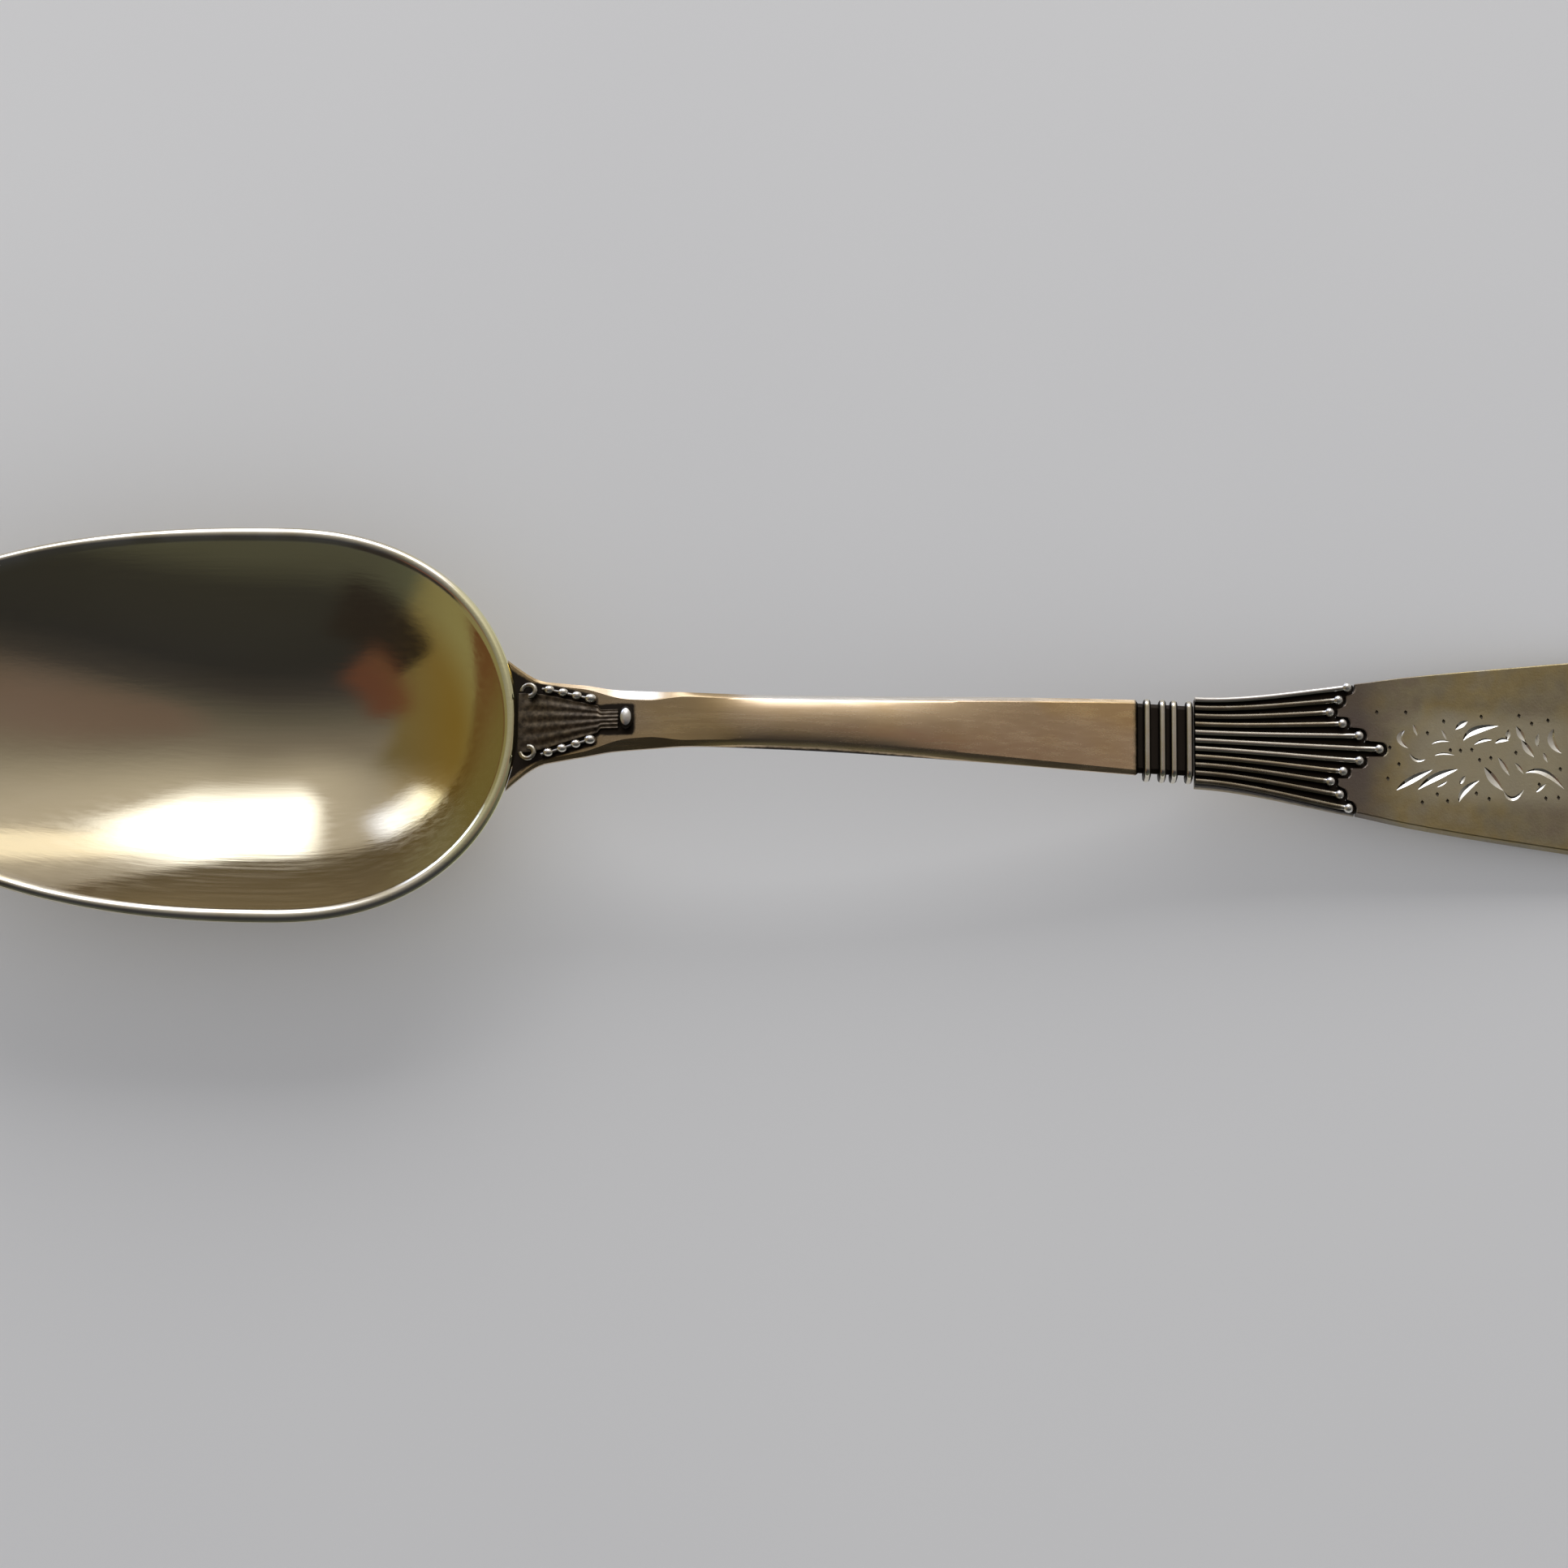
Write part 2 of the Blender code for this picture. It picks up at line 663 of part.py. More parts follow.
def make_tip_bead():
    bead = bmesh.new()
    bmesh.ops.create_uvsphere(
        bead, u_segments=TIP_BEAD_FACETS, v_segments=TIP_BEAD_RINGS, radius=0.5
    )
    bmesh.ops.scale(bead, verts=bead.verts, vec=(TIP_BEAD_LENGTH, TIP_BEAD_WIDTH, TIP_BEAD_HEIGHT))
    x = HEEL_X + TONGUE_LENGTH + SOLDER_GAP + TIP_BEAD_LENGTH / 2
    z = arch_top(x) + SOLDER_GAP + TIP_BEAD_HEIGHT / 2
    bmesh.ops.translate(bead, verts=bead.verts, vec=(x, 0, z))
    piece("tongue_tip_bead", bead, bright_silver(), (x, 0, z))


for old in list(bpy.data.objects):
    bpy.data.objects.remove(old, do_unlink=True)

parts = bpy.data.collections.new("souvenir_spoon")
bpy.context.scene.collection.children.link(parts)
spoon = bpy.data.objects.new("spoon_frame", None)
parts.objects.link(spoon)

make_bowl()
make_back_drop()
make_stem()
make_tongue()
make_tongue_beading()
make_tongue_scrolls()
make_tip_bead()
make_collar()
make_reed_panel()
make_reeds()
make_blade()
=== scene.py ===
"""A gold-washed silver teaspoon: beaded tongue, wire collar, reeded neck and bright-cut blade."""

import math

import bpy
import numpy as np
from mathutils import Matrix, Vector, geometry


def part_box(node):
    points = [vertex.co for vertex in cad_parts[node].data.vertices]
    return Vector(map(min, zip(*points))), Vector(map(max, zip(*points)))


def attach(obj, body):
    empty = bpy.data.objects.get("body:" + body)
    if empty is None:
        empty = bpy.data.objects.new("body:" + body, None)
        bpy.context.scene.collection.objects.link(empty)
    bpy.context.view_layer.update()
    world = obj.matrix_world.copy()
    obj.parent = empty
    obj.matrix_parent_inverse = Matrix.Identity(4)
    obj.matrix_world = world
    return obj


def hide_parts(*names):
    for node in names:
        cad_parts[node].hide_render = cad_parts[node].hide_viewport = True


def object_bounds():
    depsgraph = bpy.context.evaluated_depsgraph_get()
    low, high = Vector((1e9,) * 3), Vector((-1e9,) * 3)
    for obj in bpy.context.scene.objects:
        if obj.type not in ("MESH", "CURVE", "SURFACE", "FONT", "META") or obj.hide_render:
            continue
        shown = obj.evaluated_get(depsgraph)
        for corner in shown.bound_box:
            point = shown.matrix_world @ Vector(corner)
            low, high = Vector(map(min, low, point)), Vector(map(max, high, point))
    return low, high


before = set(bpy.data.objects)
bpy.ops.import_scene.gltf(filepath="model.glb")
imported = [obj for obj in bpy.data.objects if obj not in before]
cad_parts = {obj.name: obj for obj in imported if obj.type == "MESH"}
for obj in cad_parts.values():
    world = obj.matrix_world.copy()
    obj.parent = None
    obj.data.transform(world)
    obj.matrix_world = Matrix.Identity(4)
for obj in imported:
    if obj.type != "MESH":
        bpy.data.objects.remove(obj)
cad_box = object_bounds()


# ---- Bowl ----
# The egg-shaped bowl is silver sheet pressed in a die, with its rim filed to a narrow land. It was
# gold-washed, then polished along the spoon, and the wash has worn pale in the hollow and where the
# bowl rubs on the table.

bowl_low, bowl_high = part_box("bowl")
heel_x = bowl_high.x
bowl_half_width = bowl_high.y
heel_reach = 0.0193  # from the widest place back to the heel
tip_reach = bowl_high.x - bowl_low.x - heel_reach
bowl_middle_x = heel_x - heel_reach
rim_height = 0.0087
tip_lift = bowl_high.z - rim_height
heel_lift = 0.0004
bowl_wall = 0.0010
rim_land = 0.00088  # across the rounded rim
rim_crown = 0.00065  # radius of its rounding
rim_in, rim_out = math.radians(28), math.radians(58)  # how far it turns down to each side
belly_reach = 0.0240
worn_depth = 0.00008  # how deep the table has worn the bottom flat
tip_fullness = 2.25
heel_fullness = 2.36
bowl_cells = 96  # each way over the sheet
rim_cuts = 9


def rim_point(angle):
    """From the bowl's middle to its rim, as along and across."""
    along = math.cos(angle)
    reach, fullness = (-tip_reach, tip_fullness) if along < 0 else (heel_reach, heel_fullness)
    return Vector((reach * abs(along) ** (2 / fullness), bowl_half_width * math.sin(angle)))


def height_of_rim(along):
    if along < 0:
        return rim_height + tip_lift * (along / tip_reach) ** 2
    return rim_height + heel_lift * (along / heel_reach) ** 2


def dish(share):
    """Rise of a round dish, from 0 at its middle to 1 at its rim."""
    depth = rim_height / bowl_half_width
    curve = (1 + depth * depth) / (2 * depth)
    return (curve - math.sqrt(curve * curve - share * share)) / depth


def on_ring(share, angle, edge, z):
    belly = share * (1 - share) * belly_reach * math.cos(angle)
    return Vector((bowl_middle_x + belly + share * share * edge.x, share * edge.y, z))


def bowl_inside(share, angle):
    edge = rim_point(angle)
    inner_edge = height_of_rim(edge.x) - rim_crown * (1 - math.cos(rim_in))
    z = bowl_wall + (inner_edge - bowl_wall) * share**2
    return on_ring(share, angle, edge * (1 - rim_land / edge.length), z)


def bowl_outside(share, angle):
    edge = rim_point(angle)
    outer_edge = height_of_rim(edge.x) - rim_crown * (1 - math.cos(rim_out))
    z = max(0.0, (outer_edge + worn_depth) * dish(share) - worn_depth)
    return on_ring(share, angle, edge, z)


def bowl_rim(share, angle):
    """A point across the rounded rim, from the inner edge at 0 to the outer edge at 1."""
    edge = rim_point(angle)
    lean = -rim_in + (rim_in + rim_out) * share
    inwards = rim_crown * (math.sin(rim_out) - math.sin(lean))
    z = height_of_rim(edge.x) - rim_crown * (1 - math.cos(lean))
    return on_ring(1.0, angle, edge * (1 - inwards / edge.length), z)


def select_only(*pieces):
    """Selects these pieces and makes the first one active."""
    bpy.ops.object.select_all(action="DESELECT")
    for made in pieces:
        made.select_set(True)
    bpy.context.view_layer.objects.active = pieces[0]


def start_piece(name):
    """Names the primitive that was just added and sets its place, turn and size into its mesh."""
    made = bpy.context.object
    made.name = made.data.name = name
    bpy.ops.object.transform_apply(location=True, rotation=True, scale=True)
    return made


def sheet_of(name, columns, rows, below=-1.0):
    """A flat sheet from -1 to 1 each way, with a second face that was pulled down from it."""
    bpy.ops.object.select_all(action="DESELECT")
    bpy.ops.mesh.primitive_grid_add(x_subdivisions=columns, y_subdivisions=rows, size=2)
    made = start_piece(name)
    bpy.ops.object.mode_set(mode="EDIT")
    bpy.ops.mesh.select_all(action="SELECT")
    bpy.ops.mesh.extrude_region_move(TRANSFORM_OT_translate={"value": (0, 0, below)})
    bpy.ops.object.mode_set(mode="OBJECT")
    return made


def cut_along(made, axis, cuts):
    """Cuts every long edge that runs along the axis, into one piece more than the cuts."""
    bpy.ops.object.mode_set(mode="EDIT")
    bpy.ops.mesh.select_mode(type="EDGE")
    bpy.ops.mesh.select_all(action="DESELECT")
    bpy.ops.object.mode_set(mode="OBJECT")
    for edge in made.data.edges:
        first, second = (made.data.vertices[i].co[axis] for i in edge.vertices)
        edge.select = abs(first - second) > 0.5
    bpy.ops.object.mode_set(mode="EDIT")
    bpy.ops.mesh.subdivide(number_cuts=cuts)
    bpy.ops.object.mode_set(mode="OBJECT")


def finish_piece(made, sharp=40, soften=0.0, steps=3):
    """Merges, turns the faces outwards, rounds the sharp edges and smooths the rest."""
    select_only(made)
    bpy.ops.object.mode_set(mode="EDIT")
    bpy.ops.mesh.select_mode(type="EDGE")
    bpy.ops.mesh.select_all(action="SELECT")
    bpy.ops.mesh.remove_doubles(threshold=1e-6)
    bpy.ops.mesh.select_all(action="SELECT")
    bpy.ops.mesh.normals_make_consistent(inside=False)
    if soften:
        bpy.ops.mesh.select_all(action="DESELECT")
        bpy.ops.mesh.edges_select_sharp(sharpness=math.radians(sharp))
        bpy.ops.mesh.bevel(offset=soften, segments=steps, affect="EDGES")
    bpy.ops.object.mode_set(mode="OBJECT")
    bpy.ops.object.shade_smooth_by_angle(angle=math.radians(sharp))


def set_amount(piece, name, amount):
    """amount takes a point of the piece, and its result is kept between 0, none, and 1, full."""
    layer = piece.data.attributes.new(name, "FLOAT", "POINT")
    layer.data.foreach_set("value", [max(0.0, min(1.0, amount(v.co))) for v in piece.data.vertices])


def bowl_rubbed(point):
    """The gold has gone from the rim, and fades in again just below it."""
    below = height_of_rim(point.x - bowl_middle_x) - point.z
    return (0.0004 - below) / 0.0003


def node(tree, kind, inputs=(), **settings):
    """One node, with its settings, its values and what feeds it."""
    made = tree.nodes.new(kind)
    for name, value in settings.items():
        setattr(made, name, value)
    for name, value in dict(inputs).items():
        if isinstance(value, bpy.types.NodeSocket):
            tree.links.new(value, made.inputs[name])
        else:
            made.inputs[name].default_value = value
    return made


def ramp(tree, factor, *stops):
    """A colour ramp through (place, colour) stops."""
    made = node(tree, "ShaderNodeValToRGB", {"Fac": factor})
    elements = made.color_ramp.elements
    while len(elements) < len(stops):
        elements.new(0.5)
    for element, (place, colour) in zip(elements, stops):
        element.position = place
        element.color = (*colour, 1)
    return made.outputs["Color"]


def span(tree, value, low, high, to_low=0.0, to_high=1.0, smooth=True):
    """The value's run from low to high, as a run from to_low to to_high."""
    kind = "SMOOTHSTEP" if smooth else "LINEAR"
    inputs = {0: value, 1: low, 2: high, 3: to_low, 4: to_high}
    return node(tree, "ShaderNodeMapRange", inputs, interpolation_type=kind).outputs[0]


def noise(tree, place, scale, detail=3.0, roughness=0.55, stretch=(1, 1, 1)):
    """Cloudy variation of that many patches to a metre, drawn out by stretch."""
    mapped = node(tree, "ShaderNodeMapping", {"Vector": place, "Scale": stretch})
    inputs = {"Vector": mapped.outputs[0], "Scale": scale, "Detail": detail, "Roughness": roughness}
    return node(tree, "ShaderNodeTexNoise", inputs).outputs["Fac"]


def blend_colours(tree, share, first, second, way="MIX"):
    made = node(tree, "ShaderNodeMix", {0: share, 6: first, 7: second}, data_type="RGBA", blend_type=way)
    return made.outputs[2]


def mix(tree, share, first, second):
    return node(tree, "ShaderNodeMix", {0: share, 2: first, 3: second}, data_type="FLOAT").outputs[0]


def maths(tree, operation, *values):
    return node(tree, "ShaderNodeMath", enumerate(values), operation=operation).outputs[0]


def times(tree, *values):
    result = values[0]
    for value in values[1:]:
        result = maths(tree, "MULTIPLY", result, value)
    return result


def set_on_mesh(tree, name):
    """The amount that set_amount gave the mesh."""
    return node(tree, "ShaderNodeAttribute", attribute_name=name).outputs["Fac"]


def new_finish(name, metallic=1.0):
    """A new material, its node tree, its shader and the place on the piece."""
    made = bpy.data.materials.new(name)
    made.use_nodes = True
    tree = made.node_tree
    shader = tree.nodes["Principled BSDF"]
    shader.inputs["Metallic"].default_value = metallic
    place = node(tree, "ShaderNodeTexCoord").outputs["Object"]
    return made, tree, shader, place


def coat(tree, shader, colour, roughness):
    tree.links.new(colour, shader.inputs["Base Color"])
    tree.links.new(roughness, shader.inputs["Roughness"])


def bump(tree, shader, height, depth, under=None):
    """Raises the surface by height times depth, in metres, and returns the normal for the next bump."""
    inputs = {"Height": height, "Distance": depth, "Strength": 1.0}
    if under is not None:
        inputs["Normal"] = under
    made = node(tree, "ShaderNodeBump", inputs).outputs[0]
    tree.links.new(made, shader.inputs["Normal"])
    return made


# the square sheet is laid out in rings round its middle, each a share of the way to the rim
bowl = sheet_of("bowl_shell", bowl_cells, bowl_cells)
cut_along(bowl, 2, rim_cuts)
for v in bowl.data.vertices:
    u, w = v.co.x, v.co.y
    share = max(abs(u), abs(w))
    if share < 1e-6:
        angle = 0.0
    elif abs(u) >= abs(w):
        angle = math.pi / 4 * w / u + (math.pi if u < 0 else 0.0)
    else:
        angle = math.pi / 2 - math.pi / 4 * u / w + (math.pi if w < 0 else 0.0)
    if v.co.z > -0.001:
        v.co = bowl_inside(share, angle)
    elif v.co.z < -0.999:
        v.co = bowl_outside(share, angle)
    else:
        v.co = bowl_rim(-v.co.z, angle)
finish_piece(bowl, sharp=60, soften=0.00006, steps=2)
set_amount(bowl, "rubbed_and_painted_highlight", bowl_rubbed)

bowl_metal, tree, shader, place = new_finish("gold wash over silver")
parts = node(tree, "ShaderNodeSeparateXYZ", {0: place})
cloud = noise(tree, place, 90, stretch=(0.35, 1, 1))
streak = noise(tree, place, 1.0, detail=4, stretch=(60, 2600, 2600))
fine_streak = noise(tree, place, 1.0, detail=2, stretch=(250, 9000, 9000))
hollow = ramp(
    tree,
    cloud,
    (0.25, (0.57, 0.50, 0.35)),
    (0.50, (0.62, 0.54, 0.38)),
    (0.75, (0.66, 0.58, 0.43)),
)
# by the heel the wash is painted a deeper gold, partly thicker wash and partly a painted reflection of the
# gold walls facing it, and paler towards the rim
rich = ramp(tree, cloud, (0.3, (0.76, 0.54, 0.16)), (0.7, (0.82, 0.60, 0.21)))
near_heel = span(tree, parts.outputs["X"], heel_x - 0.012, heel_x - 0.004)
below_rim = span(tree, parts.outputs["Z"], 0.0076, 0.0050)
rich = blend_colours(tree, below_rim, (0.98, 0.95, 0.56, 1), rich)
colour = blend_colours(tree, near_heel, hollow, rich)
rim_rubbed = set_on_mesh(tree, "rubbed_and_painted_highlight")
patchy = span(tree, noise(tree, place, 260, detail=3), 0.35, 0.6, 0.45, 1.0)
off_heel = span(tree, parts.outputs["X"], heel_x - 0.0018, heel_x - 0.0060, 0.15, 1.0)
rim_rubbed = times(tree, rim_rubbed, patchy, off_heel)
colour = blend_colours(tree, rim_rubbed, colour, (0.86, 0.81, 0.70, 1))
under = span(tree, parts.outputs["Z"], 0.0004, 0.0001)
colour = blend_colours(tree, under, colour, (0.80, 0.77, 0.70, 1))
coat(tree, shader, colour, span(tree, streak, 0.3, 0.7, 0.08, 0.15))
lines = bump(tree, shader, streak, 0.0000045)
bump(tree, shader, fine_streak, 0.0000010, lines)
bowl.data.materials.append(bowl_metal)
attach(bowl, "root")
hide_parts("bowl")


# ---- Back drop ----
# A short drop of solid silver under the bowl's heel, soldered to the bowl, that carries it on the
# stem. It was filed round at its end and thins out under the bowl.

root_thickness = 0.0026
drop_length = 0.0100
drop_width = 0.0062
drop_end_thickness = 0.0003
drop_end_fullness = 2.4
drop_taper = 2.6
drop_rounding = 0.35  # share of its thickness that its sides lose
solder_gap = 0.00005


def heel_line(y):
    """Where the bowl's outline ends on the heel side."""
    across = min(1.0, abs(y) / bowl_half_width)
    return bowl_middle_x + heel_reach * (1 - across * across) ** (1 / heel_fullness)


def under_bowl(x, y):
    """Height of the bowl's outside over a point of the table."""
    across = abs(y) / bowl_half_width
    low, high = across + 1e-6, 1.0
    for _ in range(24):
        share = (low + high) / 2
        angle = math.asin(across / share)
        if on_ring(share, angle, rim_point(angle), 0).x < x:
            low = share
        else:
            high = share
    return bowl_outside(share, angle).z


drop = sheet_of("drop_under_the_heel", 30, 20)
drop_start = heel_x - drop_length
for v in drop.data.vertices:
    across, top = v.co.y, v.co.z > -0.5
    y = across * drop_width / 2
    nose = drop_width / 2 * (1 - (1 - abs(across) ** drop_end_fullness) ** (1 / drop_end_fullness))
    first, last = drop_start + nose, heel_line(y)
    x = first + (last - first) * (v.co.x + 1) / 2
    z = under_bowl(x, y) - solder_gap
    if not top:
        near_stem = max(0.0, (x - drop_start) / drop_length)
        thick = drop_end_thickness + (root_thickness - drop_end_thickness) * near_stem**drop_taper
        z -= thick * (1 - drop_rounding * across * across)
    v.co = (x, y, z)
finish_piece(drop, sharp=50, soften=0.00012)


def worn_gilt(name, low, high, shine=(0.16, 0.30), line_depth=0.000003, golden=(1.05, 0.97, 0.70, 1)):
    """Gilt that has gone brown and thin: colour drifts between low and high, with fine lines along it.
    The mesh's own amounts say where it is tarnished and where it is darkened with painted shade, where it is
    worn white and where it is whitened as a painted highlight, and where it is still thickly gilt."""
    made, tree, shader, place = new_finish(name)
    cloud = noise(tree, place, 160, stretch=(0.5, 1, 1))
    streak = noise(tree, place, 1.0, detail=4, stretch=(70, 3200, 3200))
    colour = ramp(tree, cloud, (0.3, low), (0.7, high))
    bloom = span(tree, noise(tree, place, 150, detail=2, stretch=(0.6, 1, 1)), 0.42, 0.62)
    colour = blend_colours(tree, times(tree, bloom, 0.75), colour, golden, "MULTIPLY")
    gilding = set_on_mesh(tree, "gilding")
    colour = blend_colours(tree, gilding, colour, (1.60, 1.58, 1.55, 1), "MULTIPLY")
    rubbed_and_painted_highlight = set_on_mesh(tree, "rubbed_and_painted_highlight")
    colour = blend_colours(tree, rubbed_and_painted_highlight, colour, (0.93, 0.89, 0.82, 1))
    tarnish_and_painted_shade = set_on_mesh(tree, "tarnish_and_painted_shade")
    spots = noise(tree, place, 2600, detail=4)
    spotted = maths(tree, "SUBTRACT", spots, 0.5)
    tarnish_and_painted_shade = maths(tree, "MULTIPLY_ADD", spotted, 0.5, tarnish_and_painted_shade)
    tarnish_and_painted_shade = span(tree, tarnish_and_painted_shade, 0.15, 0.75)
    colour = blend_colours(tree, tarnish_and_painted_shade, colour, (0.035, 0.028, 0.022, 1))
    smooth = span(tree, streak, 0.3, 0.7, *shine)
    coat(tree, shader, colour, mix(tree, tarnish_and_painted_shade, smooth, 0.5))
    lines = bump(tree, shader, streak, line_depth)
    bump(tree, shader, noise(tree, place, 900, detail=5), 0.000004, lines)
    return made


drop.data.materials.append(worn_gilt("gilt of the drop", (0.62, 0.50, 0.32), (0.74, 0.62, 0.42)))
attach(drop, "root")
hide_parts("back_drop")


# ---- Stem ----
# The stem is drawn and forged from one bar, with its far end cut back as a seat for the collar. Its
# root is flat with wide bright chamfers, its waist is round, and it flattens towards the collar.

neck_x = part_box("reed_panel")[0].x - solder_gap
collar_length = 0.0044
collar_x = neck_x - collar_length
spoon_end = cad_box[1][0]
seat_recess = 0.00022
stem_length = collar_x - heel_x
heel_height = rim_height + heel_lift
root_run, root_climb = 0.0250, 0.0078  # the slope at which the arch leaves the heel
end_run, end_climb = 0.0530, 0.0025  # and the slope at which it comes down to the table
end_height = 0.0012
arch = np.array(
    [
        tuple(point)
        for point in geometry.interpolate_bezier(
            Vector((heel_x, heel_height)),
            Vector((heel_x + root_run, heel_height + root_climb)),
            Vector((spoon_end - end_run, end_height + end_climb)),
            Vector((spoon_end, end_height)),
            4000,
        )
    ]
)


def arch_top(x):
    """Height of the handle's top along its middle."""
    if x < heel_x:
        return heel_height + (x - heel_x) * root_climb / root_run
    return float(np.interp(x, arch[:, 0], arch[:, 1]))


def eased(stations, x):
    """A curve through (x, value) stations that never swings past them."""
    if x <= stations[0][0]:
        return stations[0][1]
    if x >= stations[-1][0]:
        return stations[-1][1]
    rises = [(b[1] - a[1]) / (b[0] - a[0]) for a, b in zip(stations, stations[1:])]
    slopes = [0.0]
    for left, right in zip(rises, rises[1:]):
        slopes.append(2 * left * right / (left + right) if left * right > 0 else 0.0)
    slopes.append(rises[-1])
    i = max(k for k in range(len(rises)) if stations[k][0] <= x)
    (x0, y0), (x1, y1) = stations[i], stations[i + 1]
    run = x1 - x0
    t = (x - x0) / run
    start = y0 * (1 + 2 * t) * (1 - t) ** 2 + slopes[i] * run * t * (1 - t) ** 2
    return start + y1 * t * t * (3 - 2 * t) + slopes[i + 1] * run * t * t * (t - 1)


stem_widths = (
    (heel_x, 0.0068 / 2),
    (heel_x + 0.0051, 0.0057 / 2),
    (heel_x + 0.0079, 0.0048 / 2),
    (heel_x + 0.0151, 0.0042 / 2),
    (collar_x, 0.0060 / 2),
)
root_flare = 0.0018  # on each side, where the root runs out along the bowl's rim
root_flare_reach = 0.0026
root_reach = 0.0079
stem_thicknesses = (
    (heel_x, root_thickness),
    (heel_x + 0.0151, 0.0023),
    (collar_x, 0.0021),
)
stem_roundness = (
    (heel_x + 0.0120, 0.0),
    (heel_x + 0.0200, 0.7),
    (heel_x + 0.0260, 0.7),
    (heel_x + 0.0380, 0.15),
    (collar_x - 0.0010, 0.0),
)
stem_chamfers = (
    (heel_x, 0.00028),
    (heel_x + 0.0050, 0.00034),
    (heel_x + 0.0088, 0.00080),
    (heel_x + 0.0100, 0.00080),
    (heel_x + 0.0132, 0.00040),
    (heel_x + 0.0170, 0.00045),
    (heel_x + 0.0220, 0.00062),
    (heel_x + 0.0330, 0.00050),
    (collar_x, 0.00034),
)


def rod(name, around, cuts):
    """A round rod along the spoon, from -1 to 1, with that many cuts across it."""
    bpy.ops.object.select_all(action="DESELECT")
    bpy.ops.mesh.primitive_cylinder_add(vertices=around, radius=1, depth=2, rotation=(0, math.pi / 2, 0))
    made = start_piece(name)
    cut_along(made, 0, cuts)
    return made


stem_around = 96
chamfer_columns = 11  # of the mesh's columns over the stem's top, on each side
chamfer_fall = 0.62  # to its width
waist_fullness = 2.15
hull_fullness = 2.2


def stem_section(turn, half, thick, roundness, chamfer):
    """A point of the stem's section, between a round one and a flat top with low chamfers, which
    is rounded like a boat's hull below them."""
    c, s = math.cos(turn), math.sin(turn)
    high = thick / 2
    foot = high - chamfer_fall * chamfer
    round_y = half * math.copysign(abs(c) ** (2 / waist_fullness), c)
    round_z = high * math.copysign(abs(s) ** (2 / waist_fullness), s)
    if turn < 0:
        flat_y = half * math.copysign(abs(c) ** (2 / hull_fullness), c)
        flat_z = foot - (foot + high) * abs(s) ** (2 / hull_fullness)
    else:
        columns = stem_around // 2
        along = turn / math.pi * columns
        corners = (0, chamfer_columns, columns - chamfer_columns, columns)
        flat_y = np.interp(along, corners, (half, half - chamfer, chamfer - half, -half))
        flat_z = np.interp(along, corners, (foot, high, high, foot))
    return (
        roundness * round_y + (1 - roundness) * flat_y,
        roundness * round_z + (1 - roundness) * flat_z,
    )


seat_rings = 8
stem_cuts = 230
stem = rod("stem_bar", stem_around, stem_cuts)
for v in stem.data.vertices:
    ring = round((v.co.x + 1) / 2 * (stem_cuts + 1))
    turn = math.atan2(v.co.z, v.co.y)
    last_ring = stem_cuts + 1 - seat_rings
    on_seat = ring > last_ring
    if on_seat:
        x = collar_x + (neck_x - solder_gap - collar_x) * (ring - last_ring - 1) / (seat_rings - 1)
    else:
        x = heel_x + stem_length * ring / last_ring
    inset = seat_recess if on_seat else 0.0
    flare = root_flare * max(0.0, 1 - (x - heel_x) / root_flare_reach) ** 2
    half = eased(stem_widths, x) + flare - inset
    thick = eased(stem_thicknesses, x)
    y, z = stem_section(turn, half, thick - 2 * inset, eased(stem_roundness, x), eased(stem_chamfers, x))
    fade = max(0.0, 1 - (x - heel_x) / root_reach)
    place_x = x + fade * (heel_line(y) + solder_gap - heel_x)
    v.co = (place_x, y, arch_top(place_x) - thick / 2 + z)
finish_piece(stem, sharp=22)


tongue_start_width = 0.0048
tongue_step_width = 0.0022
tongue_neck_reach = 0.0062
tongue_length = 0.0078
tongue_bead_radius = 0.00036


def tongue_half_width(x):
    stations = ((heel_x, tongue_start_width / 2), (heel_x + tongue_neck_reach, tongue_step_width / 2))
    return eased(stations, x)


def stem_painted_shade(point):
    """Painted shade: the stem is darkened low on its sides, beside the tongue and its tip, on the collar's
    seat and close by the collar, where shade falls."""
    waist = ((0.0110, 0.0), (0.0160, 1.0), (0.0300, 1.0), (0.0380, 0.0))
    rounded = eased(waist, point.x - heel_x) if point.y < 0 else 0.0
    low_side = (arch_top(point.x) - 0.00060 + 0.00018 * rounded - point.z) / 0.0004
    side = (0.55 + 0.25 * rounded) * max(0.0, min(1.0, low_side))
    if point.x > collar_x + 0.0001:
        between_wires = abs(point.x - (collar_x + 0.00235)) < 0.0004
        return 0.25 if between_wires else 1.0
    if point.z < arch_top(point.x) - 0.0012 or point.x > heel_x + tongue_length + 0.0035:
        close_to_collar = max(0.0, 1 - (collar_x - point.x) / 0.0005)
        return max(0.9 * close_to_collar, side)
    if point.x < heel_x + tongue_neck_reach:
        off_tongue = abs(point.y) - tongue_half_width(point.x) - 2 * tongue_bead_radius
        flare = root_flare * max(0.0, 1 - (point.x - heel_x + 0.0009) / 0.0035) ** 2
        off_edge = eased(stem_widths, point.x) + flare - abs(point.y)
        beside_scroll = (off_edge - 0.00030) / 0.00025 if point.x < heel_x + 0.0024 else 0.0
        return max(1 - off_tongue / 0.00035, beside_scroll)
    tip_x = heel_x + tongue_length - 0.0001
    off_tip = math.hypot(max(0.0, abs(point.x - tip_x) - 0.0010), max(0.0, abs(point.y) - 0.0008))
    return 1 - (off_tip - 0.00030) / 0.0003


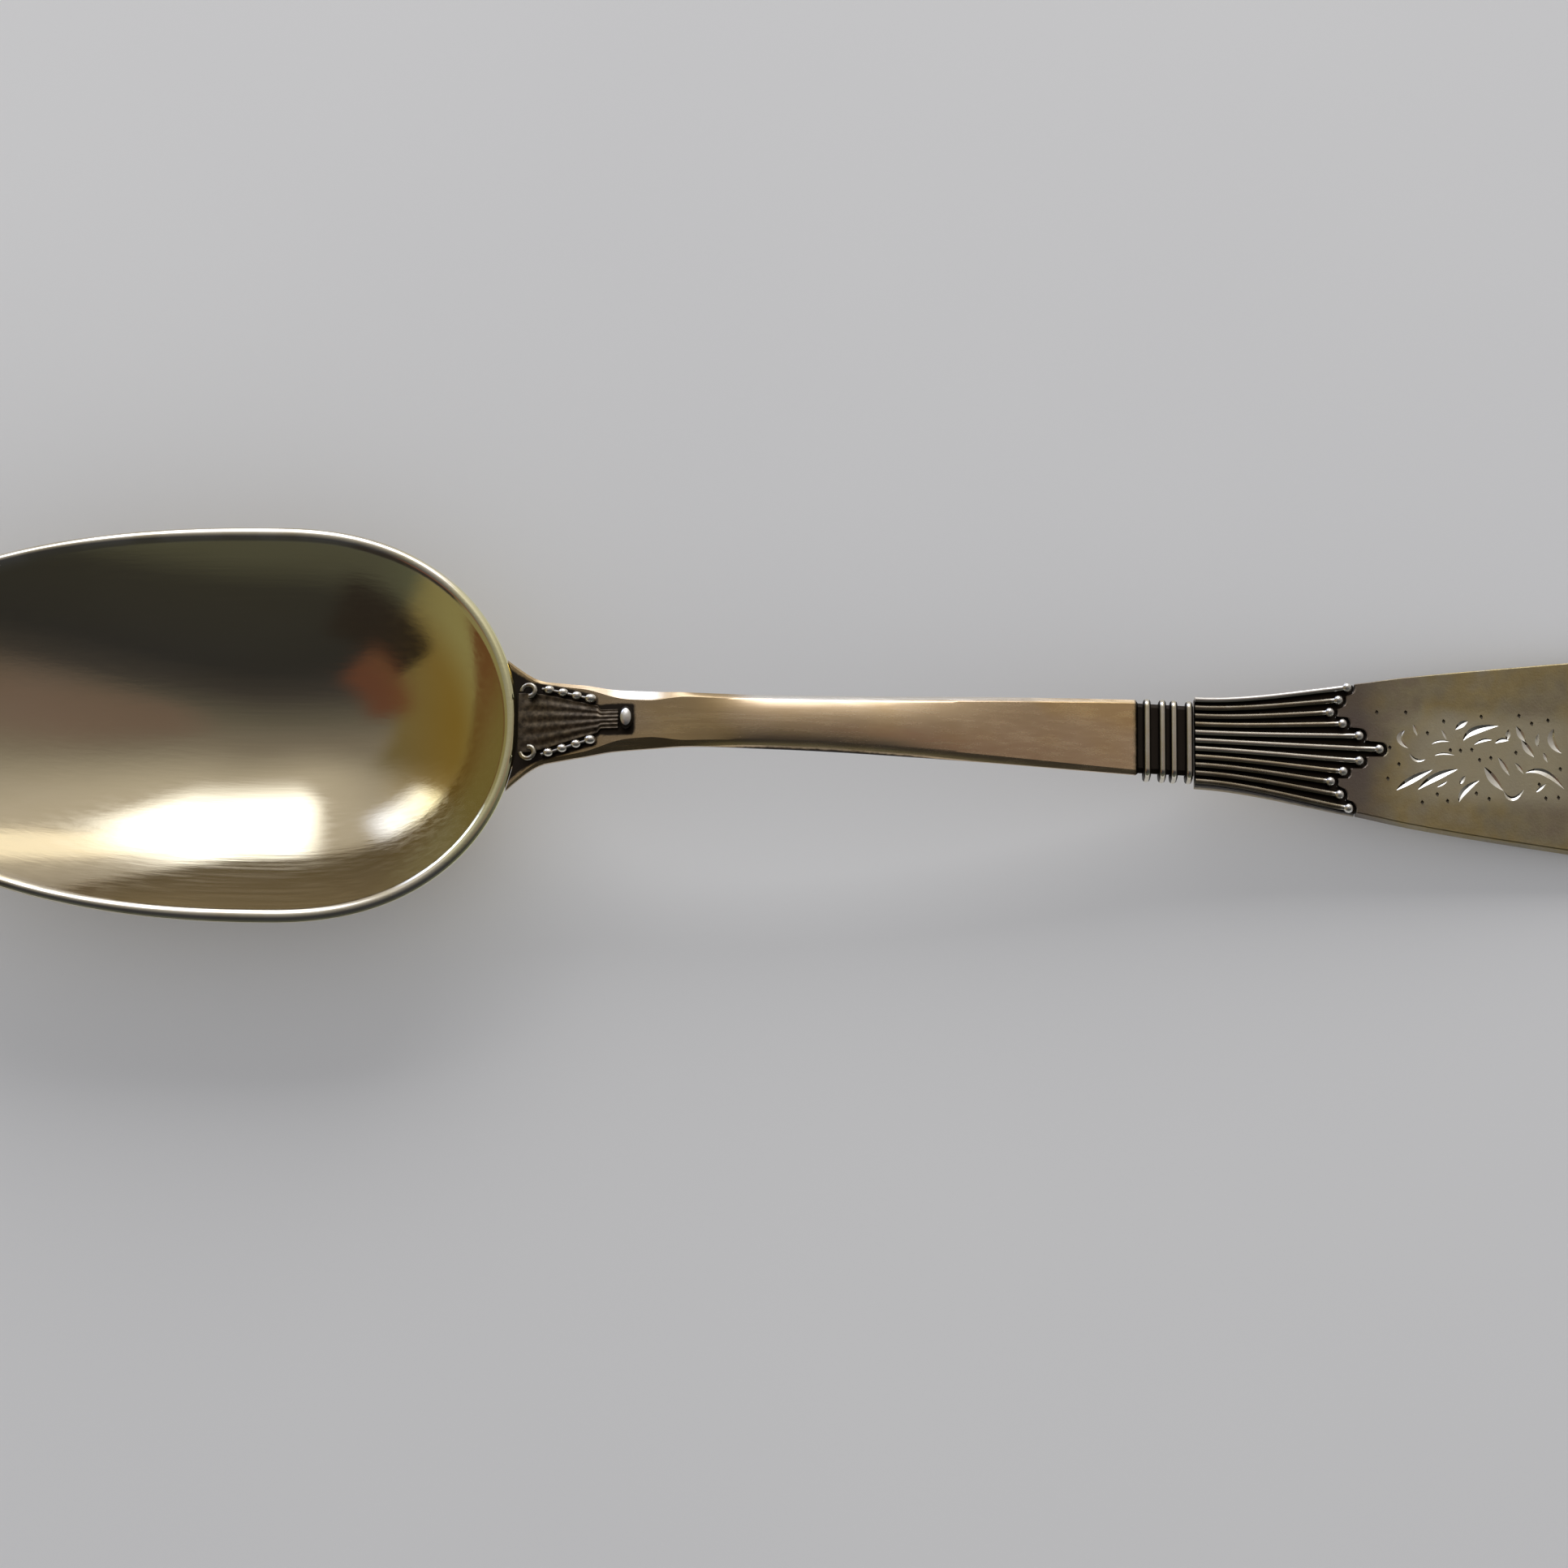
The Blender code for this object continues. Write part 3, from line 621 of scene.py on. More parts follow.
def stem_painted_highlight(point):
    """Painted highlight: the chamfer on the side towards the windows is whitened in two stretches, but not
    beside the tongue nor in one stretch behind it."""
    if point.y < 0:
        return 0.0
    along = point.x - heel_x
    if along < 0.0150:
        stretch = eased(((0.0066, 0.0), (0.0088, 0.75), (0.0100, 0.75), (0.0116, 0.0)), along)
    else:
        stretch = eased(((0.0160, 0.0), (0.0185, 1.0), (0.0340, 0.85), (0.0460, 0.3)), along)
    half = eased(stem_widths, point.x)
    on_edge = (abs(point.y) - half + eased(stem_chamfers, point.x)) / 0.00015
    return stretch * max(0.0, min(1.0, on_edge))


def stem_gilding(point):
    """The gilding is brown and thin near the bowl, and thicker towards the collar."""
    return eased(((0.0130, 0.0), (0.0190, 1.0)), point.x - heel_x)


set_amount(stem, "tarnish_and_painted_shade", stem_painted_shade)
set_amount(stem, "rubbed_and_painted_highlight", stem_painted_highlight)
set_amount(stem, "gilding", stem_gilding)
stem.data.materials.append(worn_gilt("gilt of the stem", (0.44, 0.33, 0.21), (0.56, 0.44, 0.30)))
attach(stem, "root")
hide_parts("stem")


# ---- Tongue ----
# A fluted drop ornament that was struck separately and soldered on the stem's root. Its hollows are
# oxidised dark brown, and the flutes run in to a narrow neck.

tongue_thickness = 0.0003
tongue_neck_width = 0.0015
tongue_rounding = 0.45  # share of its thickness that its sides lose
flutes = 5
flute_depth = 0.24
tongue = sheet_of("tongue_plate", 64, 48)
step_in = heel_x + tongue_neck_reach
for v in tongue.data.vertices:
    across, top = v.co.y, v.co.z > -0.5
    x = heel_x + solder_gap + (tongue_length - solder_gap) * (v.co.x + 1) / 2
    half = tongue_half_width(x)
    in_neck = max(0.0, min(1.0, (x - step_in) / 0.00025))
    half += (tongue_neck_width / 2 - half) * in_neck * in_neck * (3 - 2 * in_neck)
    z = arch_top(x) + solder_gap
    if top:
        flute = 0.5 - 0.5 * math.cos(math.pi * flutes * (across + 1))
        begun = min(1.0, (x - heel_x) / 0.0012)
        z += tongue_thickness * (1 - tongue_rounding * across * across - flute_depth * flute * begun)
    v.co = (x, across * half, z)
finish_piece(tongue, sharp=50, soften=0.00003, steps=2)
set_amount(tongue, "tarnish_and_painted_shade", lambda p: 0.56 if p.x < step_in else 0.5)
tongue.data.materials.append(
    worn_gilt("oxidised tongue", (0.30, 0.24, 0.17), (0.42, 0.34, 0.25), shine=(0.34, 0.48))
)
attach(tongue, "root")
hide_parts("tongue")


# ---- Tongue's beading ----
# A beaded wire along each edge of the tongue: four beads that were rolled in one wire, left bright on top
# and painted black with shade below and between them.

beading_start = 0.0019
bead_pitch = (tongue_neck_reach - beading_start) / 4
last_bead_radius = 0.00040
bead_high = 0.85  # to its radius
beading_wire_radius = 0.00014
beading_wire_rise = 0.00016


def bright_metal(name, light=(0.90, 0.86, 0.76), warm=(0.80, 0.70, 0.48), shine=(0.10, 0.20)):
    """Rubbed silver with traces of gilt left on it, black where the mesh's own amount of painted shade says,
    and whiter where its amount of wear and painted highlight says.
    """
    made, tree, shader, place = new_finish(name)
    cloud = noise(tree, place, 700, detail=3)
    colour = ramp(tree, cloud, (0.35, light), (0.7, warm))
    tarnish_and_painted_shade = span(tree, set_on_mesh(tree, "tarnish_and_painted_shade"), 0.2, 0.8)
    rubbed_and_painted_highlight = set_on_mesh(tree, "rubbed_and_painted_highlight")
    colour = blend_colours(tree, rubbed_and_painted_highlight, colour, (0.97, 0.95, 0.90, 1))
    colour = blend_colours(tree, tarnish_and_painted_shade, colour, (0.03, 0.025, 0.02, 1))
    smooth = span(tree, noise(tree, place, 1500), 0.3, 0.7, *shine)
    smooth = mix(tree, rubbed_and_painted_highlight, smooth, 0.33)
    coat(tree, shader, colour, mix(tree, tarnish_and_painted_shade, smooth, 0.5))
    bump(tree, shader, noise(tree, place, 2500, detail=4), 0.000004)
    return made


bead_silver = bright_metal("rubbed silver of the beads")


def ball(x, y, z, long, wide, high, around=24):
    """A rounded bead at its place."""
    bpy.ops.object.select_all(action="DESELECT")
    bpy.ops.mesh.primitive_uv_sphere_add(
        segments=around, ring_count=around // 2, radius=1, location=(x, y, z), scale=(long, wide, high)
    )
    return start_piece("bead")


def join(name, pieces):
    select_only(*pieces)
    bpy.ops.object.join()
    pieces[0].name = pieces[0].data.name = name
    return pieces[0]


def bent_wire(name, around, points, radii):
    """A rod that was bent through points and drawn to a radius at each."""
    made = rod(name, around, len(points) - 2)
    ways = []
    for i in range(len(points)):
        ways.append((points[min(i + 1, len(points) - 1)] - points[max(i - 1, 0)]).normalized())
    for v in made.data.vertices:
        i = round((v.co.x + 1) / 2 * (len(points) - 1))
        side = ways[i].cross(Vector((0, 0, 1))).normalized()
        lift = side.cross(ways[i])
        v.co = points[i] + (side * -v.co.y + lift * v.co.z) * radii[i]
    return made


for side, node_name in ((1, "tongue_beading_left"), (-1, "tongue_beading_right")):
    pieces = []
    for bead in range(4):
        x = heel_x + beading_start + bead_pitch * (bead + 0.5)
        size = last_bead_radius if bead == 3 else tongue_bead_radius
        y = side * (tongue_half_width(x) + tongue_bead_radius + solder_gap)
        z = arch_top(x) + solder_gap + size * bead_high
        pieces.append(ball(x, y, z, size * 1.12, size * 0.9, size * bead_high))
    points = []
    for i in range(25):
        x = heel_x + beading_start + (tongue_neck_reach - beading_start - 0.0002) * i / 24
        y = side * (tongue_half_width(x) + tongue_bead_radius + solder_gap)
        points.append(Vector((x, y, arch_top(x) + solder_gap + beading_wire_rise)))
    pieces.append(bent_wire("wire", 12, points, [beading_wire_radius] * 25))
    beading = join(f"beading_{'left' if side > 0 else 'right'}", pieces)
    finish_piece(beading, sharp=60)
    # Painted shade: the beads and their wire are black below their tops.
    set_amount(beading, "tarnish_and_painted_shade", lambda p: (arch_top(p.x) + 0.00040 - p.z) / 0.00012)
    set_amount(beading, "rubbed_and_painted_highlight", lambda p: 0.7)
    beading.data.materials.append(bead_silver)
    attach(beading, "root")
    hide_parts(node_name)


# ---- Scrolls ----
# A curl of drawn wire on each side of the tongue's start, where the stem meets the bowl.

scroll_turns = 1.55 * math.pi
scroll_radius = 0.00058
scroll_wire_radius = 0.00017
scroll_rise = 0.0004
for side, node_name in ((1, "tongue_scroll_left"), (-1, "tongue_scroll_right")):
    middle = Vector((heel_x + 0.0009, tongue_start_width / 2))
    points, radii = [], []
    for i in range(41):
        share = i / 40
        turn = scroll_turns * share
        curl = scroll_radius * (1 - 0.35 * share)
        x = middle.x - curl * math.cos(turn)
        y = side * (middle.y + curl * math.sin(turn))
        points.append(Vector((x, y, arch_top(x) + scroll_rise + scroll_wire_radius)))
        radii.append(scroll_wire_radius * (1 + 0.25 * share))
    scroll = bent_wire(f"scroll_{'left' if side > 0 else 'right'}", 16, points, radii)
    finish_piece(scroll, sharp=60, soften=0.00005, steps=2)
    # Painted shade: the scroll is black below its crest and half dark on it.
    set_amount(scroll, "tarnish_and_painted_shade", lambda p: 1.0 if p.z < arch_top(p.x) + 0.00062 else 0.45)
    scroll.data.materials.append(bead_silver)
    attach(scroll, "root")
    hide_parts(node_name)


# ---- Tip bead ----
# A wide bead that closes the tongue's neck, soldered on across the stem.

tip_low, tip_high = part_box("tongue_tip_bead")
tip_middle = (tip_low + tip_high) / 2
tip_size = (tip_high - tip_low) / 2
tip = ball(*tip_middle, *tip_size, around=40)
tip.name = tip.data.name = "tip_bead"
finish_piece(tip, sharp=60)
# Painted shade: the bead is black below its top, which is left bright.
bright_above = tip_low.z + 0.87 * (tip_high.z - tip_low.z)
set_amount(tip, "tarnish_and_painted_shade", lambda p: (bright_above - p.z) / 0.00005)
set_amount(tip, "rubbed_and_painted_highlight", lambda p: 1.0)
tip.data.materials.append(bead_silver)
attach(tip, "root")
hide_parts("tongue_tip_bead")


# ---- Collar ----
# Four round silver wires, each bent close round the seat at the stem's end and soldered shut.

collar_corner = 0.00045
collar_wire_silver = bright_metal("silver of the collar", warm=(0.84, 0.76, 0.58))
for number in (1, 2, 3, 4):
    low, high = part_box(f"collar_wire_{number}")
    middle = (low + high) / 2
    wire_radius = (high.x - low.x) / 2
    bpy.ops.object.select_all(action="DESELECT")
    bpy.ops.mesh.primitive_torus_add(
        location=middle,
        rotation=(0, math.pi / 2, 0),
        major_radius=collar_corner,
        minor_radius=wire_radius,
        major_segments=64,
        minor_segments=20,
    )
    wire = start_piece(f"collar_ring_{number}")
    across = (high.y - low.y) / 2 - collar_corner - wire_radius
    upward = (high.z - low.z) / 2 - collar_corner - wire_radius
    for v in wire.data.vertices:
        v.co.y += math.copysign(across, v.co.y - middle.y)
        v.co.z += math.copysign(upward, v.co.z - middle.z)
    finish_piece(wire, sharp=80)
    # Painted shade: each wire is black on its sides, towards its neighbours, and bright along its crest.
    set_amount(wire, "tarnish_and_painted_shade", lambda p: (abs(p.x - middle.x) - 0.00010) / 0.00012)
    wire.data.materials.append(collar_wire_silver)
    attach(wire, "root")
    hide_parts(f"collar_wire_{number}")


# ---- Reeded neck's ground ----
# The neck was cut down below the blade's face in a crown of scallops and oxidised black, as a
# ground for the reeds.

neck_recess = 0.00045
reed_radius = 0.00024
bead_radius = 0.00038
scallop_radius = 0.00062
crown_reach = (0.0146, 0.0130, 0.0117, 0.0107, 0.0114, 0.0121)  # neck to bead, middle reed first
blade_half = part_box("blade")[1].y
shoulder_x = spoon_end - 0.0110  # where the blade is widest
blade_end_fullness = 1.65
handle_widths = (
    (neck_x, 0.0070 / 2),
    (neck_x + crown_reach[-1], 0.0102 / 2),
    (neck_x + 0.0172, 0.0120 / 2),
    (shoulder_x, blade_half),
)
handle_thicknesses = (
    (neck_x, 0.0018),
    (neck_x + crown_reach[0], 0.0014),
    (spoon_end, 0.0012),
)


def handle_half_width(x):
    if x > shoulder_x:
        along = min(1.0, (x - shoulder_x) / (spoon_end - shoulder_x))
        return blade_half * (1 - along**2) ** (1 / blade_end_fullness)
    return eased(handle_widths, x)


def reed_across(number, x):
    """The reeds fan out with the neck."""
    return number / 5 * (handle_half_width(x) - reed_radius)


def crown(across):
    """Where the neck ends, by the share across: a round scallop about each bead."""
    best = 0.0
    for number in range(-5, 6):
        bead_x = neck_x + crown_reach[abs(number)]
        off = across * handle_half_width(bead_x + 0.0003) - reed_across(number, bead_x)
        room = scallop_radius**2 - off * off
        if room > 0:
            best = max(best, bead_x + math.sqrt(room))
    return best


ground = sheet_of("neck_ground", 40, 120)
for v in ground.data.vertices:
    across, top = v.co.y, v.co.z > -0.5
    start = neck_x + solder_gap
    x = start + (crown(across) - solder_gap - start) * (v.co.x + 1) / 2
    z = arch_top(x) - (neck_recess if top else eased(handle_thicknesses, x))
    v.co = (x, across * handle_half_width(x), z)
finish_piece(ground, sharp=40)
set_amount(ground, "tarnish_and_painted_shade", lambda p: 1.0 if p.z > arch_top(p.x) - 0.0006 else 0.05)
ground.data.materials.append(
    worn_gilt("oxidised ground", (0.34, 0.28, 0.20), (0.46, 0.39, 0.28), shine=(0.28, 0.40))
)
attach(ground, "root")
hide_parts("reed_panel")


# ---- Reeds ----
# Eleven drawn wires that fan out over the ground, each melted up to a bead at its end. Painted shade makes
# them black in between; the three in the middle are worn paler, and the last one on the windows' side is
# whitened along its crest as a painted highlight.


def reed_painted_shade(point, bead_x, least):
    """Painted shade: a reed is darkened below its crest and below the top of its bead, between the reeds,
    and the last reed's outer side towards the windows is left light as a painted highlight."""
    if point.y > handle_half_width(point.x) - 1.05 * reed_radius:
        return 0.1
    ground_z = arch_top(point.x) - neck_recess + solder_gap
    if point.x > bead_x - 1.1 * bead_radius:
        return (ground_z + 0.00050 - point.z) / 0.00014
    return max(least, (ground_z + 0.00045 - point.z) / 0.00012)


bead_climb = 0.0012  # the run over which a reed rises to its bead
reed_silver = bright_metal("silver of the reeds", light=(0.50, 0.44, 0.34), warm=(0.36, 0.30, 0.20))
for number in range(-5, 6):
    start = neck_x + solder_gap
    bead_x = neck_x + crown_reach[abs(number)]
    stations = [(start + (bead_x - bead_radius - start) * i / 40, reed_radius) for i in range(40)]
    for i in range(17):
        turn = math.pi * i / 16
        thinnest = reed_radius * 0.9 if i < 8 else 0.00002
        stations.append((bead_x - bead_radius * math.cos(turn), max(thinnest, bead_radius * math.sin(turn))))
    points = []
    for x, _ in stations:
        climb = max(0.0, min(1.0, 1 - (bead_x - x) / bead_climb))
        lift = reed_radius + (bead_radius - reed_radius) * climb
        y = reed_across(number, min(x, bead_x))
        points.append(Vector((x, y, arch_top(x) - neck_recess + solder_gap + lift)))
    reed = bent_wire(f"reed_wire_{number + 6:02d}", 20, points, [radius for _, radius in stations])
    finish_piece(reed, sharp=60)
    least = (0.15, 0.15, 0.30, 0.42, 0.46, 0.42)[abs(number)]
    set_amount(reed, "tarnish_and_painted_shade", lambda p: reed_painted_shade(p, bead_x, least))
    # The last reed towards the windows is whitened along its crest as a painted highlight; the three middle
    # ones and every bead are worn paler.
    crest = 0.8 if number == 5 else 0.35 if abs(number) < 2 else 0.0
    set_amount(reed, "rubbed_and_painted_highlight", lambda p: max(crest, (p.x - bead_x + 1.3 * bead_radius) / 0.0002))
    reed.data.materials.append(reed_silver)
    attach(reed, "root")
    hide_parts(f"reed_{number + 6:02d}")


# ---- Blade ----
# The handle's leaf-shaped blade: satin gilt, bright-cut with a leafy spray. Each stroke is one cut
# of a flat graver, held over to one side, that leaves a wide bright slope and a steep wall, which is painted
# dark as shade.

blade_columns, shoulder_column = 76, 58
blade = sheet_of("blade_leaf", blade_columns, 120)
for v in blade.data.vertices:
    across, top = v.co.y, v.co.z > -0.5
    column = round((v.co.x + 1) / 2 * blade_columns)
    start = crown(across)
    if column <= shoulder_column:
        x = start + (shoulder_x - start) * column / shoulder_column
    else:
        past = (column - shoulder_column) / (blade_columns - shoulder_column)
        x = shoulder_x + (spoon_end - shoulder_x) * math.sin(math.pi / 2 * past)
    z = arch_top(x) - (0.0 if top else eased(handle_thicknesses, x))
    v.co = (x, across * handle_half_width(x), z)
finish_piece(blade, sharp=50, soften=0.00012, steps=2)

graver = bpy.data.curves.new("graver", "CURVE")
graver.dimensions = "2D"
tooth = graver.splines.new("POLY")
tooth.points.add(2)
tooth.use_cyclic_u = True
graver_shape = ((0.00072, 0.00026), (0, 0), (-0.00044, 0.00026))
for corner, (across, up) in zip(tooth.points, graver_shape):
    corner.co = (across, up, 0, 1)
graver = bpy.data.objects.new("graver", graver)
bpy.context.scene.collection.objects.link(graver)

# Each stroke by where it starts, bends and ends, in millimetres along and across, and its depth.
strokes = [
    # the long leaves that open the spray
    ((47.0, -3.3), (48.3, -2.3), (50.1, -1.4), 0.15),
    ((48.7, -3.2), (50.2, -2.0), (52.1, -1.3), 0.16),
    ((52.0, -4.1), (52.5, -3.0), (53.8, -2.1), 0.14),
    ((52.1, -2.6), (52.3, -2.2), (52.6, -1.8), 0.10),
    ((50.2, -2.9), (50.7, -2.6), (51.2, -2.3), 0.06),
    # the stem of the spray and the leaves that cross it
    ((54.0, -1.0), (54.8, -1.9), (55.6, -3.0), 0.15),
    ((55.5, -2.8), (56.3, -3.5), (57.3, -2.6), 0.10),
    ((55.1, -0.2), (55.7, -0.9), (56.1, -1.8), 0.10),
    ((56.4, -0.6), (56.9, -1.0), (57.2, -1.6), 0.08),
    ((57.2, -1.5), (58.9, -1.3), (60.5, -2.8), 0.13),
    ((58.1, -3.0), (58.5, -2.6), (59.0, -2.2), 0.08),
    # the upper leaves
    ((52.4, 0.9), (53.4, 1.9), (55.4, 2.3), 0.16),
    ((53.2, 0.6), (54.0, 1.1), (54.8, 1.1), 0.08),
    ((51.8, 1.8), (52.3, 2.3), (52.9, 2.6), 0.13),
    ((54.9, 0.8), (55.5, 1.2), (56.1, 1.1), 0.10),
    ((55.9, 1.1), (56.0, 1.6), (56.1, 2.1), 0.11),
    ((56.6, 2.4), (57.1, 1.7), (57.4, 1.0), 0.12),
    ((57.0, 1.3), (57.6, 0.6), (58.1, -0.2), 0.13),
    ((58.4, 0.7), (58.3, 1.2), (58.5, 1.9), 0.10),
    ((58.7, 0.3), (59.0, -0.1), (59.1, -0.6), 0.08),
    ((59.7, 2.3), (59.6, 1.2), (60.3, 0.2), 0.14),
    # the tendril that hangs behind them
    ((47.9, 1.7), (47.5, 0.9), (48.2, 0.1), 0.10),
    ((48.1, -0.1), (48.7, -0.7), (49.5, -0.6), 0.08),
    ((48.4, 2.2), (48.7, 1.7), (48.8, 1.1), 0.07),
    ((49.8, 0.5), (50.6, 0.9), (51.5, 0.8), 0.06),
    ((50.0, -0.4), (50.9, -0.1), (51.9, -0.3), 0.06),
    ((50.6, 1.9), (51.0, 1.4), (51.1, 0.9), 0.06),
    # the spray runs on, smaller and smaller, towards the end of the blade
    ((61.2, -2.4), (62.2, -1.4), (63.7, -1.0), 0.14),
    ((62.3, -3.2), (63.2, -2.3), (64.6, -1.9), 0.14),
    ((61.4, 0.9), (62.5, 1.9), (64.0, 2.1), 0.14),
    ((62.9, 0.3), (63.9, 1.1), (65.3, 1.2), 0.12),
    ((60.9, -0.5), (62.7, 0.2), (64.9, -0.3), 0.11),
    ((65.0, -0.4), (66.6, -0.8), (68.3, 0.0), 0.11),
    ((65.3, -2.1), (66.2, -1.6), (67.3, -1.5), 0.11),
    ((65.9, 0.6), (66.8, 1.3), (68.1, 1.3), 0.11),
    ((68.6, -0.9), (69.3, -0.5), (70.2, -0.5), 0.09),
    ((68.7, 0.5), (69.4, 0.8), (70.3, 0.6), 0.09),
    ((70.8, -0.1), (71.4, 0.1), (72.2, 0.0), 0.08),
]
# The dots are pricked in with the graver's point, some beside the leaves and some in short rows; they are
# painted dark as shade in their pits.
dots = []
for x, y in (
    (45.6, 3.0), (47.3, -1.1), (50.9, 2.5), (53.7, -0.5), (53.1, 0.3), (52.2, 0.2), (58.4, -2.3),
    (60.1, -1.0), (47.9, 3.1), (49.6, 1.5), (51.4, 0.2), (53.9, 3.0), (54.6, -0.3), (56.6, 0.2),
    (57.9, 2.6), (59.2, 2.9), (53.4, -3.2), (54.4, -3.6), (58.9, -3.4), (59.9, -3.3), (61.0, 2.3),
    (61.9, -0.5), (64.8, 2.4), (66.4, 0.1), (50.3, -3.4), (51.1, -3.9), (49.1, -4.1), (46.6, 0.2),
    (46.4, -2.3), (56.9, 3.2), (67.4, 2.2), (67.9, -2.2),
):
    dots.append(((x - 0.15, y - 0.03), (x, y), (x + 0.15, y + 0.03), 0.11))


def cutter_along(name, strokes):
    """The graver's section swept along each stroke, deepest in its middle."""
    cuts = bpy.data.curves.new(name, "CURVE")
    cuts.dimensions = "3D"
    cuts.twist_mode = "Z_UP"
    cuts.bevel_mode = "OBJECT"
    cuts.bevel_object = graver
    cuts.use_fill_caps = True
    for first, bend, last, depth in strokes:
        if first[0] > last[0]:
            first, last = last, first
        pull = [2 * at - (a + b) / 2 for at, a, b in zip(bend, first, last)]
        spline = cuts.splines.new("POLY")
        spline.points.add(12)
        for i, point in enumerate(spline.points):
            t = i / 12
            x, y = (
                ((1 - t) ** 2 * a + 2 * t * (1 - t) * b + t * t * c) / 1000
                for a, b, c in zip(first, pull, last)
            )
            plunge = depth / 1000 * math.sin(math.pi * t) ** 0.8
            point.co = (x, y, arch_top(x) + 0.00002 - plunge, 1)
    made = bpy.data.objects.new(name, cuts)
    bpy.context.scene.collection.objects.link(made)
    select_only(made)
    bpy.ops.object.convert(target="MESH")
    made = bpy.context.object
    finish_piece(made)
    return made


# the cutter's flat slope leaves the bright side of a cut, and its steep one a wall that is painted dark as
# shade; the pricks are painted dark the same way
cutter = cutter_along("graver_cuts", strokes)
for face in cutter.data.polygons:
    face.material_index = 1 if -0.85 < face.normal.z < 0.5 else 0
pricks = cutter_along("graver_pricks", dots)
for face in pricks.data.polygons:
    face.material_index = 1

blade_metal, tree, shader, place = new_finish("satin gilt of the blade")
cloud = noise(tree, place, 170, detail=3)
drift = noise(tree, place, 900, detail=4)
colour = ramp(
    tree,
    cloud,
    (0.34, (0.32, 0.26, 0.20)),
    (0.44, (0.38, 0.33, 0.21)),
    (0.54, (0.46, 0.36, 0.16)),
    (0.66, (0.44, 0.39, 0.28)),
)
stains = ramp(tree, drift, (0.3, (0.24, 0.20, 0.13)), (0.7, (0.44, 0.37, 0.23)))
colour = blend_colours(tree, 0.35, colour, stains)
parts = node(tree, "ShaderNodeSeparateXYZ", {0: place})
by_the_neck = span(tree, parts.outputs["X"], neck_x + 0.0164, neck_x + 0.0126)
colour = blend_colours(tree, times(tree, by_the_neck, 0.8), colour, (0.165, 0.135, 0.125, 1))
amid_strokes = times(
    tree,
    span(tree, parts.outputs["X"], 0.0455, 0.0510),
    span(tree, parts.outputs["X"], 0.0640, 0.0590),
    span(tree, parts.outputs["Y"], -0.0050, -0.0028),
    span(tree, parts.outputs["Y"], 0.0040, 0.0020),
    0.7,
)
colour = blend_colours(tree, amid_strokes, colour, (0.62, 0.57, 0.41, 1))
grain = noise(tree, place, 5200, detail=3)
coat(tree, shader, colour, span(tree, grain, 0.3, 0.7, 0.34, 0.48))
bump(tree, shader, grain, 0.000012)
cut_metal, tree, shader, place = new_finish("bright cut")
cloud = noise(tree, place, 900, detail=3)
colour = ramp(tree, cloud, (0.3, (0.88, 0.84, 0.72)), (0.7, (0.97, 0.95, 0.88)))
coat(tree, shader, colour, span(tree, cloud, 0.3, 0.7, 0.24, 0.36))
bump(tree, shader, noise(tree, place, 1.0, detail=3, stretch=(2500, 9000, 9000)), 0.000004)
cut_wall_painted_shade, tree, shader, place = new_finish("painted shade on the steep side of a cut")
colour = ramp(tree, noise(tree, place, 1500), (0.3, (0.05, 0.04, 0.03)), (0.7, (0.12, 0.10, 0.07)))
tree.links.new(colour, shader.inputs["Base Color"])
shader.inputs["Roughness"].default_value = 0.5
blade.data.materials.append(blade_metal)
for made in (cutter, pricks):
    made.data.materials.append(cut_metal)
    made.data.materials.append(cut_wall_painted_shade)
cutter = join("graver_cuts", [cutter, pricks])

engrave = blade.modifiers.new("engraving", "BOOLEAN")
engrave.operation = "DIFFERENCE"
engrave.solver = "EXACT"
engrave.use_self = True
engrave.material_mode = "TRANSFER"
engrave.object = cutter
select_only(blade)
bpy.ops.object.modifier_apply(modifier=engrave.name)
bpy.data.objects.remove(cutter)
bpy.data.objects.remove(graver)
bpy.ops.object.shade_smooth_by_angle(angle=math.radians(12))
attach(blade, "root")
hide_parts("blade")


# ---- Table, light and camera ----
# A pale matt table in a room with two bright windows far off to the left. The walls are dark on the
# near side and gold-brown beyond the bowl's tip, and polished metal shows all of it.

bpy.ops.object.select_all(action="DESELECT")
bpy.ops.mesh.primitive_plane_add(size=6, location=(0, 0, -0.00002))
table = start_piece("table")
table_paint, tree, shader, place = new_finish("pale matt table", metallic=0.0)
tint = ramp(tree, noise(tree, place, 9), (0.3, (0.795, 0.795, 0.81)), (0.7, (0.83, 0.83, 0.84)))
tree.links.new(tint, shader.inputs["Base Color"])
shader.inputs["Roughness"].default_value = 0.9
shader.inputs["Specular IOR Level"].default_value = 0.2
table.data.materials.append(table_paint)

world = bpy.data.worlds.new("room")
bpy.context.scene.world = world
world.use_nodes = True
tree = world.node_tree
background = tree.nodes["Background"]
way = node(tree, "ShaderNodeTexCoord").outputs["Generated"]
parts = node(tree, "ShaderNodeSeparateXYZ", {0: way})

degree = math.pi / 180
turn = maths(tree, "ARCTAN2", parts.outputs["X"], parts.outputs["Y"])
turn = times(tree, turn, 1 / degree)
back_x = times(tree, parts.outputs["X"], -1.0)
back_y = times(tree, parts.outputs["Y"], -1.0)
near_turn = maths(tree, "ARCTAN2", back_x, back_y)
near_turn = times(tree, near_turn, 1 / degree)
fall = times(tree, maths(tree, "ARCCOSINE", parts.outputs["Z"]), 1 / degree)


